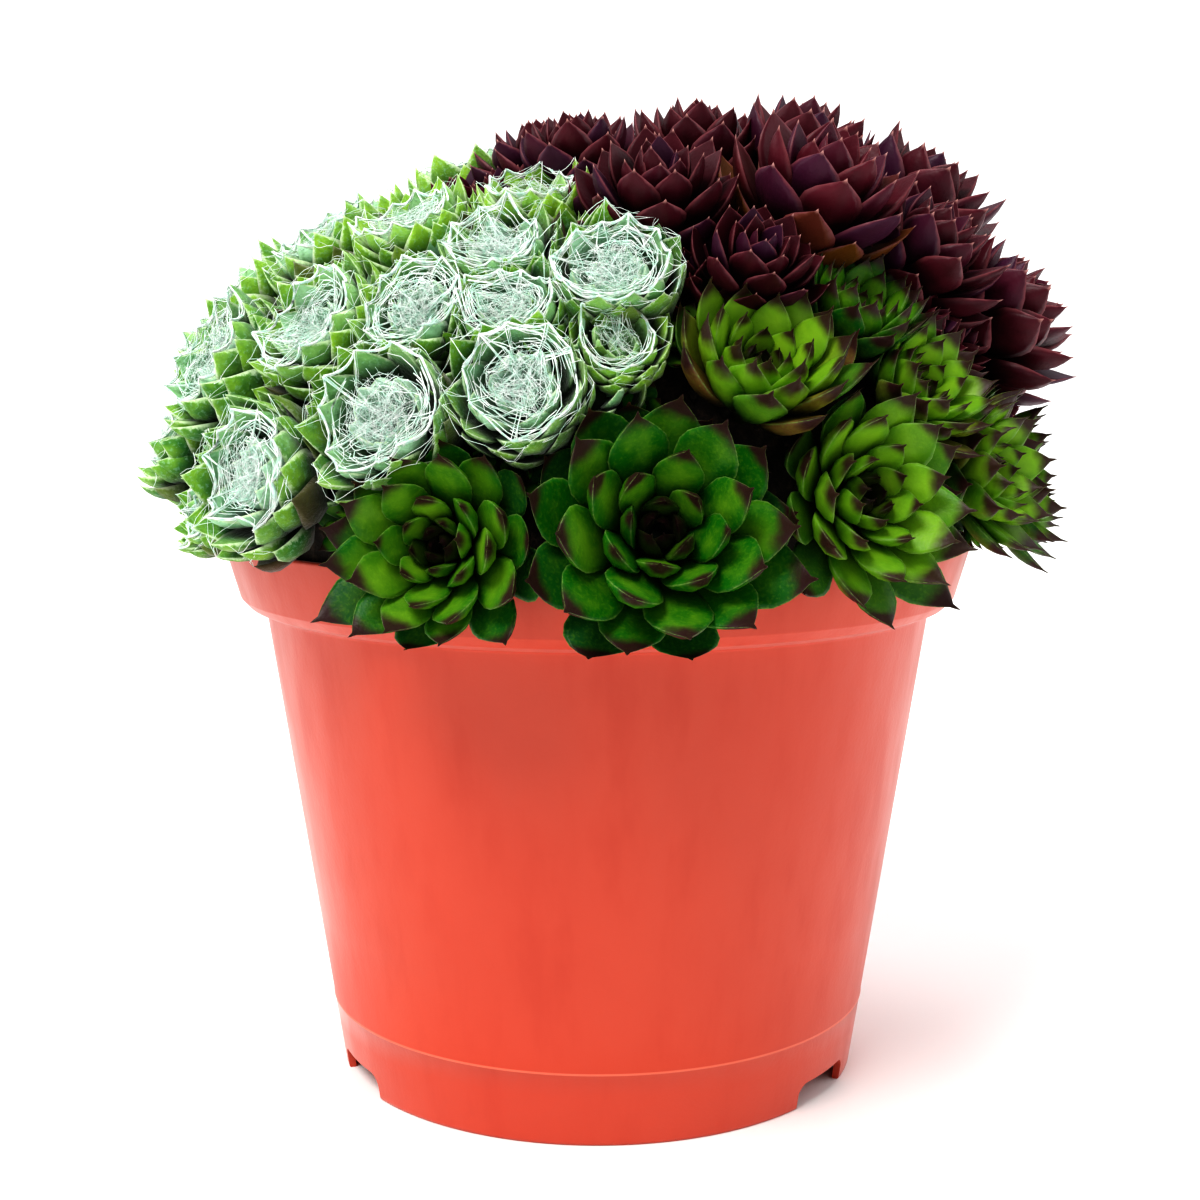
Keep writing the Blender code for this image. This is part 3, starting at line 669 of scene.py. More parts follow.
# Leaf finishes. A leaf carries its own numbers: along, from its foot to its tip, edge, from its
# middle to its edges, row, from the outermost leaf to the heart, a random tint, and its rosette's
# tone. cloud and grain are coarse and fine noise, by scale, detail and roughness.
# sums: further values as addedUp takes them. The first goes from the deep colour to the fresh: partly each
# leaf's own freshness, partly painted light, darker at a leaf's foot and lighter towards its tip.
# layers: as paintLayers takes them. bump: how high in metres, and how strong.
leafLooks = {
    "cobweb": {
        "roughness": 0.6, "cloud": (300.0, 3.0), "grain": (1500.0, 3.0, 0.6), "bump": (0.0003, 0.8),
        "colours": {
            "deep": (0.038, 0.200, 0.030, 1.0), "fresh": (0.36, 0.64, 0.050, 1.0),
            "pale": (0.46, 0.80, 0.58, 1.0), "wool": (0.80, 1.0, 0.88, 1.0),
            "edge": (0.72, 0.90, 0.58, 1.0), "old": (0.07, 0.045, 0.018, 1.0),
            # base: near black, the painted shade between the leaves' feet
            "base": (0.002, 0.010, 0.002, 1.0),
        },
        "sums": {
            # Its along term is painted light: darker lower down each leaf, lighter towards its tip
            "freshnessAndPaintedLight": (-0.16, {"tone": 0.8, "tint": 0.34},
                          [("cloud", 0.3, 0.7, -0.2, 0.2), ("along", 0.55, 0.9, -0.1, 0.18)]),
            "ragged": (-0.25, {"grain": 0.5, "edge": 1.0}, []),
        },
        # Felted towards the heart and on the inner side of the crown, pale along the edges, and darkened
        # towards each leaf's foot as painted shade between the leaves, less so in the heart
        "layers": [
            ("pale", ("row", 0.4, 0.72, 0.0, 0.9), ("tone", 1.0, 0.5, 0.3, 1.0),
             ("cloud", 0.3, 0.6, 0.5, 1.0)),
            ("wool", ("row", 0.58, 0.8, 0.0, 0.9), ("tone", 1.0, 0.6, 0.3, 1.0),
             ("grain", 0.3, 0.55, 0.45, 1.0)),
            ("pale", ("grain", 0.5, 0.7, 0.0, 0.3)),
            ("edge", ("ragged", 0.74, 0.98), ("along", 0.35, 0.8, 0.05, 0.85)),
            ("edge", ("along", 0.92, 0.99, 0.0, 0.8)),
            ("old", ("row", 0.16, 0.02), ("tint", 0.4, 0.8)),
            # Painted shade: darker towards each leaf's foot, less in the felted heart
            ("base", ("along", 0.82, 0.42), ("row", 0.8, 0.5, 0.3, 0.95)),
        ],
        "shader": {
            "Specular IOR Level": 0.2, "Sheen Weight": 0.3, "Subsurface Weight": 0.08,
            "Subsurface Radius": (0.8, 1.0, 0.5), "Subsurface Scale": 0.001,
        },
    },
    "green": {
        "roughness": 0.42, "cloud": (260.0, 3.0), "grain": (1800.0, 2.0), "bump": (0.00012, 0.5),
        "colours": {
            "deep": (0.008, 0.125, 0.004, 1.0), "fresh": (0.25, 0.46, 0.024, 1.0),
            # old: a dark bluish green for the outer leaves, partly their own duller colour, partly painted
            # shade where they lie in shadow
            "old": (0.010, 0.060, 0.022, 1.0), "blush": (0.20, 0.060, 0.028, 1.0),
            "tip": (0.036, 0.010, 0.013, 1.0), "edge": (0.20, 0.33, 0.08, 1.0),
            # base: near black, the painted shade between the leaves' feet
            "heart": (0.012, 0.003, 0.004, 1.0), "base": (0.002, 0.012, 0.001, 1.0),
        },
        "sums": {
            # Its row term darkens the outer leaves, partly as painted shade, and its edge and along terms are
            # painted light: a highlight down each leaf's middle, darker at its edges and foot
            "freshnessAndPaintedLight": (-0.14, {"tone": 0.85, "tint": 0.2},
                          [("row", 0.15, 0.55, -0.12, 0.12), ("edge", 0.9, 0.1, -0.08, 0.12),
                           ("along", 0.1, 0.6, -0.1, 0.06), ("cloud", 0.3, 0.7, -0.1, 0.14)]),
            "tipLine": (-0.12, {"cloud": 0.24, "along": 1.0, "tint": 0.07}, [("row", 0.1, 0.7, 0.0, -0.05)]),
        },
        # Bluish and blushed outer leaves, their darkness partly painted shade, dark tips with a ragged start,
        # pale edges, a dark heart, and painted shade towards each leaf's foot
        "layers": [
            # Outer leaves darkened, partly their own colour, partly painted shade
            ("old", ("row", 0.28, 0.05, 0.0, 0.6)),
            ("blush", ("row", 0.42, 0.2, 0.0, 0.75), ("tone", 0.5, 0.68), ("tint", 0.3, 0.7)),
            ("fresh", ("grain", 0.45, 0.75, 0.0, 0.16)),
            ("tip", ("tipLine", 0.68, 0.84, 0.0, 0.97)),
            ("edge", ("edge", 0.93, 1.0), ("along", 0.25, 0.5), ("grain", 0.35, 0.6, 0.25, 0.75)),
            ("heart", ("row", 0.76, 0.92, 0.0, 0.92)),
            # Painted shade: darker towards each leaf's foot
            ("base", ("along", 0.5, 0.12, 0.0, 0.75)),
        ],
        "shader": {
            "Specular IOR Level": 0.24, "Subsurface Weight": 0.06, "Subsurface Radius": (0.6, 1.0, 0.3),
            "Subsurface Scale": 0.0015,
        },
    },
    "red": {
        "roughness": 0.42, "cloud": (240.0, 3.0), "grain": (1700.0, 2.0), "bump": (0.0001, 0.5),
        "colours": {
            "deep": (0.022, 0.0038, 0.0075, 1.0), "fresh": (0.120, 0.014, 0.026, 1.0),
            "blue": (0.042, 0.013, 0.044, 1.0), "old": (0.15, 0.055, 0.012, 1.0),
            "edge": (0.26, 0.08, 0.09, 1.0), "tip": (0.55, 0.28, 0.25, 1.0),
            # base: near black, the painted shade between the leaves' feet
            "base": (0.003, 0.001, 0.001, 1.0),
        },
        "sums": {
            # Its along term is painted light: darker at each leaf's foot, lighter towards its tip
            "freshnessAndPaintedLight": (0.0, {"tone": 0.5, "tint": 0.25},
                          [("along", 0.3, 1.0, -0.1, 0.25), ("cloud", 0.3, 0.7, -0.1, 0.15)]),
        },
        # Some leaves bluish, old ones brown where the tone is high, thin pale edges and tips, and painted
        # shade darkening each leaf towards its foot
        "layers": [
            ("blue", ("tint", 0.6, 0.95, 0.0, 0.7)),
            ("old", ("row", 0.36, 0.14), ("tone", 0.5, 0.8)),
            ("edge", ("edge", 0.84, 0.99), ("along", 0.3, 0.9, 0.1, 0.7)),
            ("tip", ("along", 0.93, 0.99, 0.0, 0.8)),
            # Painted shade: darker towards each leaf's foot
            ("base", ("along", 0.62, 0.2, 0.0, 0.8)),
        ],
        "shader": {"Specular IOR Level": 0.2},
    },
}


def makeLeafMaterial(kind):
    look = leafLooks[kind]
    material, tree, shader = newMaterial(f"{kind}Leaf", look["roughness"])
    values = {key: attributeValue(tree, key) for key in ("along", "edge", "row", "tint", "tone")}
    place = objectCoordinates(tree)
    values["cloud"], values["grain"] = (noiseValue(tree, place, *look[key]) for key in ("cloud", "grain"))
    for key, (start, shares, steps) in look["sums"].items():
        values[key] = addedUp(tree, values, start, shares, steps)
    colours = look["colours"]
    colour = mixColour(tree, values["freshnessAndPaintedLight"], colours["deep"], colours["fresh"])
    colour = paintLayers(tree, values, colours, colour, look["layers"])
    tree.links.new(colour, shader.inputs["Base Color"])
    setSockets(shader, look["shader"])
    addBump(tree, shader, values["grain"], *look["bump"])
    return material


# Webs

# How many threads of each sort are strung, and how many in a bundle. clear: how far their sheet lies
# above the tips. density falls by thinning as a rosette's tone rises. tiedBelow: how far a thread is
# tied from a tip towards the edges, as a share. shortest: threads shorter than this are left out.
# arc, ray: the least and the most that is drawn of each number, and for an arc how far the threads
# of a bundle stray. place and sweep count leaves round the crown, share and reach go across it.
webLook = {
    "ringStrands": 7, "netStrands": 2, "arcs": 20, "rays": 11, "bundle": 3, "loose": 30, "mat": 170,
    "clear": 0.2, "density": 1.2, "thinning": 0.85, "tiedBelow": 0.15, "shortest": 0.6, "seed": 7,
    "arc": {
        "place": (0.0, kinds["cobweb"]["whorl"], 0.12), "sweep": (1.2, 5.0, 0.2), "share": (0.15, 1.0, 0.018),
        "slant": (-0.45, 0.35, 0.03), "wave": (0.0, 0.12, 0.01),
    },
    "ray": {"place": (0.0, kinds["cobweb"]["whorl"]), "sweep": (-1.4, 1.4), "reach": (0.7, 1.8)},
    "rayStray": 0.05, "roughness": 0.85, "sheen": 0.2, "fibre": 900.0, "fibreSpan": (0.35, 0.6),
    "colour": (0.96, 1.0, 0.98, 1.0), "shade": (0.66, 0.92, 0.80, 1.0),
}
# Each sort of thread: its thinnest and thickest radius in millimetres, its bends, how far its ends
# lie from where they are tied, how much it sags for its length, its wobble and its longest length
threads = {
    "ring": {"radius": (0.07, 0.16), "bends": 6, "ends": 0.06, "sag": 0.26, "wobble": 0.07, "longest": 99.0},
    "net": {"radius": (0.03, 0.07), "bends": 4, "ends": 0.12, "sag": 0.0, "wobble": 0.2, "longest": 5.5},
    "mat": {"radius": (0.02, 0.045), "bends": 5, "ends": 0.8, "sag": -0.08, "wobble": 0.6, "longest": 99.0},
    "bowl": {"radius": (0.03, 0.105), "bends": 8, "ends": 0.12},
}


def strandTubes(paths, radii, sides=3):
    # Tubes along many paths at once: a triangle is carried along each path, square to its tangent
    count, steps = paths.shape[:2]
    tangent = np.gradient(paths, axis=1)
    tangent /= np.linalg.norm(tangent, axis=2, keepdims=True) + 1e-9
    helper = np.where(np.abs(tangent[..., 2:]) < 0.9, [0.0, 0.0, 1.0], [1.0, 0.0, 0.0])
    first = np.cross(tangent, helper)
    first /= np.linalg.norm(first, axis=2, keepdims=True) + 1e-9
    second = np.cross(tangent, first)
    angle = turn * np.arange(sides) / sides
    ring = first[:, :, None] * np.cos(angle)[:, None] + second[:, :, None] * np.sin(angle)[:, None]
    points = paths[:, :, None] + ring * radii[:, None, None, None]
    faces = [repeated(part, count, steps * sides) for part in tubeFaces(steps, sides)]
    return points.reshape(-1, 3), faces


def sagging(thread, first, last, down, sag, wobble, rng):
    # Threads from first to last: straight lines that hang by sag and stray by a bent offset
    steps = np.linspace(0.0, 1.0, thread["bends"] + 1)[None, :, None]
    count = len(first)
    arch = 4.0 * steps * (1.0 - steps)
    bend = rng.normal(size=(count, 1, 3)) * wobble
    twist = rng.normal(size=(count, 1, 3)) * wobble * 0.5 * np.sin(turn * steps)
    paths = (first[:, None] * (1.0 - steps) + last[:, None] * steps
             + down * (np.broadcast_to(sag, count)[:, None, None] * arch) + bend * arch + twist)
    return strandTubes(paths, rng.uniform(*thread["radius"], count))


def bowlSheet(rings, place, share, down):
    # Points of the sheet over three rings of leaf tips: place counts leaves round the crown, and
    # share goes from 1 at the crown through 0.5 at the next ring to 0 at the heart, then beyond it.
    # Between two tips it hangs as a thread round the crown does.
    crown, middle, heart = rings
    whorl = len(crown)
    place = np.where(share < 0.0, place + 0.5 * whorl, place)
    share = np.clip(np.abs(share), 0.0, 1.0)

    def onRing(tips, at):
        index = np.floor(at).astype(int)
        part = (at - index)[..., None]
        hang = 4.0 * part * (1.0 - part) * threads["ring"]["sag"] * np.linalg.norm(tips[0] - tips[1])
        return tips[index % whorl] * (1.0 - part) + tips[(index + 1) % whorl] * part + down * hang

    high, low = onRing(crown, place), onRing(middle, place - 0.5)
    upper = np.clip(2.0 * share - 1.0, 0.0, 1.0)[..., None]
    lower = np.clip(2.0 * share, 0.0, 1.0)[..., None]
    sheet = heart * (1.0 - lower) + (low * (1.0 - upper) + high * upper) * lower
    return sheet - down * webLook["clear"]


def makeWeb(rosette, material):
    # Threads strung round the crown, across it, matted over the heart and netted down the outside
    look, rng = webLook, np.random.default_rng(rosette["seed"] + webLook["seed"])
    size, down = rosette["size"], -rosette["basis"][2]
    high, left, right = rosette["tips"], rosette["leftEdges"], rosette["rightEdges"]
    density = look["density"] - look["thinning"] * rosette["tone"]
    whorl = kinds["cobweb"]["whorl"]
    order = np.arange(len(high))
    outer, crown, inner = order[:3 * whorl], order[2 * whorl:3 * whorl], order[3 * whorl:]

    def jitter(count, amount):
        return rng.normal(size=(count, 3)) * amount * size

    def strung(sort, first, last):
        thread = threads[sort]
        apart = np.linalg.norm(first - last, axis=1)
        keep = (apart > look["shortest"]) & (apart < thread["longest"] * size)
        first, last, apart = first[keep], last[keep], apart[keep]
        first, last = (tied + jitter(len(tied), thread["ends"]) for tied in (first, last))
        return sagging(thread, first, last, down, apart * thread["sag"], thread["wobble"] * size, rng)

    def laid(rings, place, share):
        # Threads on the sheet that hangs from the crown's tips to the heart
        thread = threads["bowl"]
        paths = bowlSheet(rings, place, share, down) + jitter(len(place), thread["ends"])[:, None]
        return strandTubes(paths, rng.uniform(*thread["radius"], len(place)))

    # Bundles from tip to tip round the crown, tied to the edges a little below the tips
    a, b = np.repeat(crown, look["ringStrands"]), np.repeat(np.roll(crown, -1), look["ringStrands"])
    below = rng.uniform(0.0, look["tiedBelow"], (len(a), 1))
    parts = [strung("ring", high[a] * (1.0 - below) + left[a] * below,
                    high[b] * (1.0 - below) + right[b] * below)]
    # A net down the outside, from each tip to the edges of the leaves above it
    for offset in (whorl, whorl - 1, 1):
        a = np.repeat(outer[outer + offset < 3 * whorl], look["netStrands"])
        a = a[rng.uniform(size=len(a)) < density]
        b = a + offset
        ends = np.where((rng.uniform(size=len(a)) < 0.5)[:, None], left[b], right[b])
        parts.append(strung("net", high[a], ends))
    # Arcs that run round the bowl in bundles and singly
    rings = (high[crown], high[inner[:whorl]], high[inner[whorl:]].mean(0))
    steps = np.linspace(0.0, 1.0, threads["bowl"]["bends"] + 1)[None]
    arcs, loose, rays, mat = (round(look[key] * density) for key in ("arcs", "loose", "rays", "mat"))
    least, most, stray = np.array(list(look["arc"].values())).T
    rows = rng.uniform(least, most, (arcs + loose, len(least)))
    rows = np.repeat(rows, np.r_[np.full(arcs, look["bundle"]), np.ones(loose, int)], axis=0)
    rows = rows + rng.normal(size=rows.shape) * stray
    place, sweep, share, slant, wave = (rows[:, k:k + 1] for k in range(len(least)))
    share = share + slant * (steps - 0.5) + wave * np.sin(turn * (steps + place))
    parts.append(laid(rings, place + sweep * steps, share))
    # Rays that start at a tip and cross the bowl
    least, most = np.array(list(look["ray"].values())).T
    rows = np.repeat(rng.uniform(least, most, (rays, len(least))), look["bundle"], axis=0)
    rows[:, 0] = np.round(rows[:, 0]) + rng.normal(size=len(rows)) * look["rayStray"]
    parts.append(laid(rings, rows[:, :1] + rows[:, 1:2] * steps, 1.0 - rows[:, 2:] * steps))
    # The mat, from leaf to leaf over the heart
    a, b = rng.choice(inner, mat), rng.choice(inner, mat)
    parts.append(strung("mat", high[a], high[b]))
    points, faces = joinParts(parts)
    piece = buildMesh(f"web{rosette['number']:02d}", points, faces, material)
    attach(piece, "root")


def makeWebMaterial():
    look = webLook
    material, tree, shader = newMaterial("webThread", look["roughness"])
    setSockets(shader, {"Sheen Weight": look["sheen"]})
    fibre = noiseValue(tree, objectCoordinates(tree), look["fibre"])
    colour = mixColour(tree, smoothStep(tree, fibre, *look["fibreSpan"]), look["shade"], look["colour"])
    tree.links.new(colour, shader.inputs["Base Color"])
    return material


# Pot

# Heights and radii of its outside in millimetres. The rings are heights of rows of points: round the
# foot between its edge and the floor, up the body, and beside the seam, which stands out by its step.
potShape = {
    "height": 101.0, "rimRadius": 70.0, "bandBottom": 90.5, "bandBottomRadius": 67.0,
    "shoulderBottom": 87.7, "shoulderRadius": 62.3, "shoulderRise": 1.1, "footRadius": 49.1, "wall": 1.3,
    "lipRound": 0.55, "bandRound": 0.7, "shoulderRound": 1.6, "underRound": 0.9, "innerRound": 0.6,
    "floorHeight": 5.0, "floorThickness": 1.6, "floorRound": 0.8, "footChamfer": 0.25,
    "archAzimuths": (-63.5, 56.5, 176.5), "archWidth": 17.0, "archHeight": 4.6, "archCorner": 2.5,
    "drainCount": 6, "drainRadius": 4.0, "drainCircle": 33.0, "drainStart": 11.0, "drainSides": 24,
    "seamHeight": 13.5, "seamStep": 0.12, "seamRings": (0.25, 0.1), "columns": 288, "sharpFrom": 50.0,
    "skirtRings": (5.0, 3.4, 1.9, 0.8, 0.25), "lowRings": (5.0, 9.0), "bodyRings": (30.0, 48.0, 66.0, 80.0),
    "innerRing": 45.0,
}
# Noise, layers and bumps as for the leaves. Some cells of the spots hold a speck, and rough is what
# the roughness follows, from where to where and from what to what.
potLook = {
    "colours": {
        "plastic": (0.53, 0.054, 0.021, 1.0), "light": (0.60, 0.080, 0.036, 1.0),
        "dark": (0.45, 0.034, 0.012, 1.0), "seam": (0.76, 0.20, 0.12, 1.0),
        "speck": (0.10, 0.02, 0.012, 1.0),
    },
    "cloud": (22.0, 4.0, 0.6), "streak": (160.0, 3.0, 0.6), "grain": (1400.0, 2.0), "spots": 34.0,
    "streakStretch": (1.0, 1.0, 0.25), "seamHalf": 0.22 * mm,
    "layers": [
        ("light", ("cloud", 0.3, 0.75, 0.0, 0.35)),
        ("dark", ("streak", 0.45, 0.8, 0.0, 0.3)),
        ("seam", ("seam", 0.0, 1.0, 0.0, 0.6)),
        ("speck", ("spot", 0.022, 0.012), ("rare", 0.6, 0.65)),
    ],
    "roughness": 0.4, "rough": ("streak", 0.2, 0.8, 0.35, 0.5),
    "shader": {"Sheen Weight": 0.35, "Sheen Roughness": 0.35},
    "fineBump": (0.00005, 0.5), "streakBump": (0.0001, 0.4),
}


def bodyRadius(height):
    foot, shoulder = potShape["footRadius"], potShape["shoulderRadius"]
    return foot + (shoulder - foot) * height / potShape["shoulderBottom"]


def rounded(corners, steps=6):
    # A line through (radius, height, rounding) corners, each rounded by an arc of that radius
    made = []
    count = len(corners)
    for i, (r, z, rounding) in enumerate(corners):
        here = np.array([r, z])
        if rounding <= 0.0 or i in (0, count - 1):
            made.append(here[None])
            continue
        before = np.array(corners[i - 1][:2]) - here
        after = np.array(corners[i + 1][:2]) - here
        before, after = before / np.linalg.norm(before), after / np.linalg.norm(after)
        half = 0.5 * math.acos(max(-1.0, min(1.0, float(before @ after))))
        reach = rounding / math.tan(half)
        middle = here + (before + after) / np.linalg.norm(before + after) * rounding / math.sin(half)
        start, end = here + before * reach - middle, here + after * reach - middle
        blend = np.linspace(0.0, 1.0, steps)[:, None]
        sweep = math.pi - 2.0 * half
        arc = (np.sin((1.0 - blend) * sweep) * start + np.sin(blend * sweep) * end) / math.sin(sweep)
        made.append(middle + arc)
    return np.concatenate(made)


def archEdge(azimuths):
    # Height of the foot's lower edge: 0, and an arch with round corners at three places
    shape = potShape
    edge = np.zeros(len(azimuths))
    half, corner = 0.5 * shape["archWidth"], shape["archCorner"]
    for azimuth in shape["archAzimuths"]:
        away = np.degrees(np.angle(np.exp(1j * np.radians(azimuths - azimuth))))
        s = np.abs(np.radians(away)) * shape["footRadius"]
        over = np.clip(s - (half - corner), 0.0, corner)
        arch = shape["archHeight"] - corner + np.sqrt(corner ** 2 - over ** 2)
        edge = np.where(s <= half, np.maximum(edge, arch), edge)
    return edge


def potColumns():
    # Azimuths of the columns: even steps, and a few more where the arches' sides and corners are
    shape = potShape
    half, corner = 0.5 * shape["archWidth"], shape["archCorner"]
    justOutside, cornerShares, tooNear = 0.06, np.array([0.04, 0.15, 0.35, 0.65, 1.0]), 0.25
    extra = np.concatenate([[half + justOutside, half], half - corner * cornerShares])
    extra = np.degrees(np.concatenate([extra, -extra]) / shape["footRadius"])
    even = np.arange(shape["columns"]) * 360.0 / shape["columns"] - 180.0
    sides = np.concatenate([azimuth + extra for azimuth in shape["archAzimuths"]])
    sides = np.mod(sides + 180.0, 360.0) - 180.0
    far = np.abs(even[:, None] - sides[None]).min(1) > tooNear
    return np.sort(np.concatenate([even[far], sides]))


def makePot(material):
    shape = potShape
    wall, top, skirt = shape["wall"], shape["height"], shape["skirtRings"]
    floor, floorTop = shape["floorHeight"], shape["floorHeight"] + shape["floorThickness"]
    seam, step, (away, near) = shape["seamHeight"], shape["seamStep"], shape["seamRings"]
    shoulder, shoulderRadius = shape["shoulderBottom"], shape["shoulderRadius"]
    band, bandRadius, rimRadius = shape["bandBottom"], shape["bandBottomRadius"], shape["rimRadius"]
    # (radius, height, rounding) up the outside, over the lip and down the inside to the floor
    outer = rounded(
        [(bodyRadius(z), z, 0.0) for z in (*shape["lowRings"], seam - away)]
        + [(bodyRadius(seam) + step, z, 0.0) for z in (seam - near, seam + near)]
        + [(bodyRadius(z), z, 0.0) for z in (seam + away, *shape["bodyRings"])]
        + [(shoulderRadius, shoulder, shape["underRound"]),
           (bandRadius - shape["shoulderRound"], shoulder + shape["shoulderRise"], shape["shoulderRound"]),
           (bandRadius, band, shape["bandRound"]),
           (rimRadius, top, shape["lipRound"]), (rimRadius - wall, top, shape["lipRound"]),
           (bandRadius - wall, band, shape["innerRound"]),
           (shoulderRadius - wall, shoulder, shape["innerRound"]),
           (bodyRadius(shape["innerRing"]) - wall, shape["innerRing"], 0.0),
           (bodyRadius(floorTop) - wall, floorTop, shape["floorRound"]), (0.0, floorTop, 0.0)])
    azimuths = potColumns()
    angle = np.radians(azimuths)
    edge = archEdge(azimuths)

    def skirtRings(heights, inset, bottomInset):
        # Rings of the foot, their heights squeezed between the arches' edge and the floor
        z = edge[None] + np.array(heights)[:, None] * (floor - edge[None]) / floor
        r = bodyRadius(z) - inset
        r[np.argmin(heights)] -= bottomInset
        return r, z

    def placedRings(r, z):
        return np.stack([r * np.sin(angle), -r * np.cos(angle), z], -1)

    outR, outZ = skirtRings([*skirt[1:], 0.0], 0.0, shape["footChamfer"])
    inR, inZ = skirtRings([0.0, *skirt[::-1]], wall, -shape["footChamfer"])
    # The loop of rings: up the outside, over the lip, down to the floor, and back under it
    plain = (len(outer) - 1, len(angle))
    rings = placedRings(np.concatenate([outR[::-1], np.broadcast_to(outer[:-1, :1], plain)]),
                        np.concatenate([outZ[::-1], np.broadcast_to(outer[:-1, 1:], plain)]))
    under = placedRings(inR, inZ)
    rows, columns = len(rings), len(angle)
    points = np.concatenate([rings.reshape(-1, 3), [[0.0, 0.0, floorTop]],
                             under.reshape(-1, 3), [[0.0, 0.0, floor]]])
    topPole, underStart = rows * columns, rows * columns + 1
    column = np.arange(columns)
    after = (column + 1) % columns
    faces = [
        gridFaces(rows, columns),
        poleFaces((rows - 1) * columns, columns, topPole),
        gridFaces(len(under), columns)[:, ::-1] + underStart,
        poleFaces(underStart + (len(under) - 1) * columns, columns, len(points) - 1, facesDown=True),
        np.stack([after, column, underStart + column, underStart + after], -1),
    ]
    pot = buildMesh("nurseryPot", points, faces, material)
    cutDrains(pot)
    pot.data.set_sharp_from_angle(angle=math.radians(shape["sharpFrom"]))
    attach(pot, "root")
    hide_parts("pot")


def cutDrains(pot):
    # Round holes through the floor, all cut by one body of six cylinders that pass it on both sides
    shape = potShape
    count, sides, past = shape["drainCount"], shape["drainSides"], 2.0
    angle = turn * np.arange(sides) / sides
    ring = np.stack([np.cos(angle), np.sin(angle)], -1) * shape["drainRadius"]
    low, high = shape["floorHeight"] - past, shape["floorHeight"] + shape["floorThickness"] + past
    points = []
    for number in range(count):
        centre = outward(shape["drainStart"] + 360.0 * number / count) * shape["drainCircle"]
        for height in (low, high):
            points.append(np.column_stack([ring + centre[:2], np.full(sides, height)]))
    faces = [repeated(part, count, 2 * sides) for part in tubeFaces(2, sides)]
    cutter = buildMesh("drainCutter", np.concatenate(points), faces, pot.data.materials[0])
    boolean = pot.modifiers.new("drains", "BOOLEAN")
    boolean.operation = "DIFFERENCE"
    boolean.solver = "EXACT"
    boolean.object = cutter
    graph = bpy.context.evaluated_depsgraph_get()
    cutMesh = bpy.data.meshes.new_from_object(pot.evaluated_get(graph))
    pot.modifiers.clear()
    pot.data = cutMesh
    bpy.data.objects.remove(cutter)


def makePotMaterial():
    look = potLook
    material, tree, shader = newMaterial("coralPlastic", look["roughness"])
    place = objectCoordinates(tree)
    stretch = {"Vector": place, "Scale": look["streakStretch"]}
    stretched = addNode(tree, "ShaderNodeMapping", stretch).outputs[0]
    height = addNode(tree, "ShaderNodeSeparateXYZ", {"Vector": place}).outputs["Z"]
    spots = addNode(tree, "ShaderNodeTexVoronoi", {"Vector": place, "Scale": look["spots"]}).outputs
    values = {
        "cloud": noiseValue(tree, place, *look["cloud"]),
        "streak": noiseValue(tree, stretched, *look["streak"]),
        "seam": mathNode(tree, "COMPARE", height, potShape["seamHeight"] * mm, look["seamHalf"]),
        "spot": spots["Distance"],
        "rare": addNode(tree, "ShaderNodeSeparateColor", {"Color": spots["Color"]}).outputs["Red"],
    }
    colour = paintLayers(tree, values, look["colours"], look["colours"]["plastic"], look["layers"])
    tree.links.new(colour, shader.inputs["Base Color"])
    setSockets(shader, look["shader"])
    key, *span = look["rough"]
    tree.links.new(smoothStep(tree, values[key], *span), shader.inputs["Roughness"])
    fine = addBump(tree, shader, noiseValue(tree, place, *look["grain"]), *look["fineBump"])
    addBump(tree, shader, values["streak"], *look["streakBump"], under=fine)
    return material


# Compost

# It fills the pot, a gap inside its wall, and rises as the dome. bumps: length, waves, seed and share.
compostShape = {
    "rows": 44, "columns": 120, "bottom": 7.0, "gap": 0.5, "rimGap": 0.6, "overCorner": 0.3, "belowRim": 3.0,
    "bump": 0.9, "bumpFrom": 4.0, "bumps": ((7.0, 30, 1, 1.0), (2.6, 30, 2, 0.5)),
    "crumbs": 900, "crumbSize": (0.5, 1.5), "sunk": 0.4, "seed": 5,
}
compostLook = {
    "soil": (0.014, 0.009, 0.006, 1.0), "crumb": (0.05, 0.032, 0.02, 1.0), "roughness": 0.95,
    "lump": (500.0, 4.0, 0.65), "lumpSpan": (0.45, 0.7), "bump": 0.0006,
}


def makeCompost(material):
    # The dome as a grid turned about Z, roughened by waves, over plain sides down to the pot's floor
    shape, pot = compostShape, potShape
    over, bottom, columns = shape["overCorner"], shape["bottom"], shape["columns"]

    def inside(radius):
        return radius - pot["wall"] - shape["gap"]

    sides = np.array([
        (inside(bodyRadius(bottom)), bottom), (inside(pot["shoulderRadius"]), pot["shoulderBottom"] + over),
        (inside(pot["bandBottomRadius"]), pot["bandBottom"] + over),
        (inside(pot["rimRadius"]) - shape["rimGap"], pot["height"] - shape["belowRim"]),
    ])
    rise = np.linspace(0.0, 0.5 * math.pi, shape["rows"])[:-1]
    reach = domeReach(np.cos(rise), np.sin(rise))
    radius = np.concatenate([sides[:, 0], reach * np.cos(rise)])
    height = np.concatenate([sides[:, 1], dome["base"] + reach * np.sin(rise)])
    rows = len(radius)
    grid = turnedAbout(radius, height, turn * np.arange(columns) / columns).reshape(-1, 3)
    points = np.concatenate([grid, [[0.0, 0.0, dome["base"] + dome["height"]], [0.0, 0.0, bottom]]])
    bumps = sum(share * waves(points, length, count, seed) for length, count, seed, share in shape["bumps"])
    free = np.clip((points[:, 2] - dome["base"]) / shape["bumpFrom"], 0.0, 1.0)
    away = points - np.array([0.0, 0.0, dome["base"]])
    away /= np.linalg.norm(away, axis=1, keepdims=True)
    points = points + away * (shape["bump"] * (bumps - 1.0) * free)[:, None]
    points[:, 0] += domeShift(points[:, 2])
    faces = [gridFaces(rows, columns), poleFaces((rows - 1) * columns, columns, len(points) - 2),
             poleFaces(0, columns, len(points) - 1, facesDown=True)]
    piece = buildMesh("compostDome", points, faces, material)
    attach(piece, "root")
    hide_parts("compost")


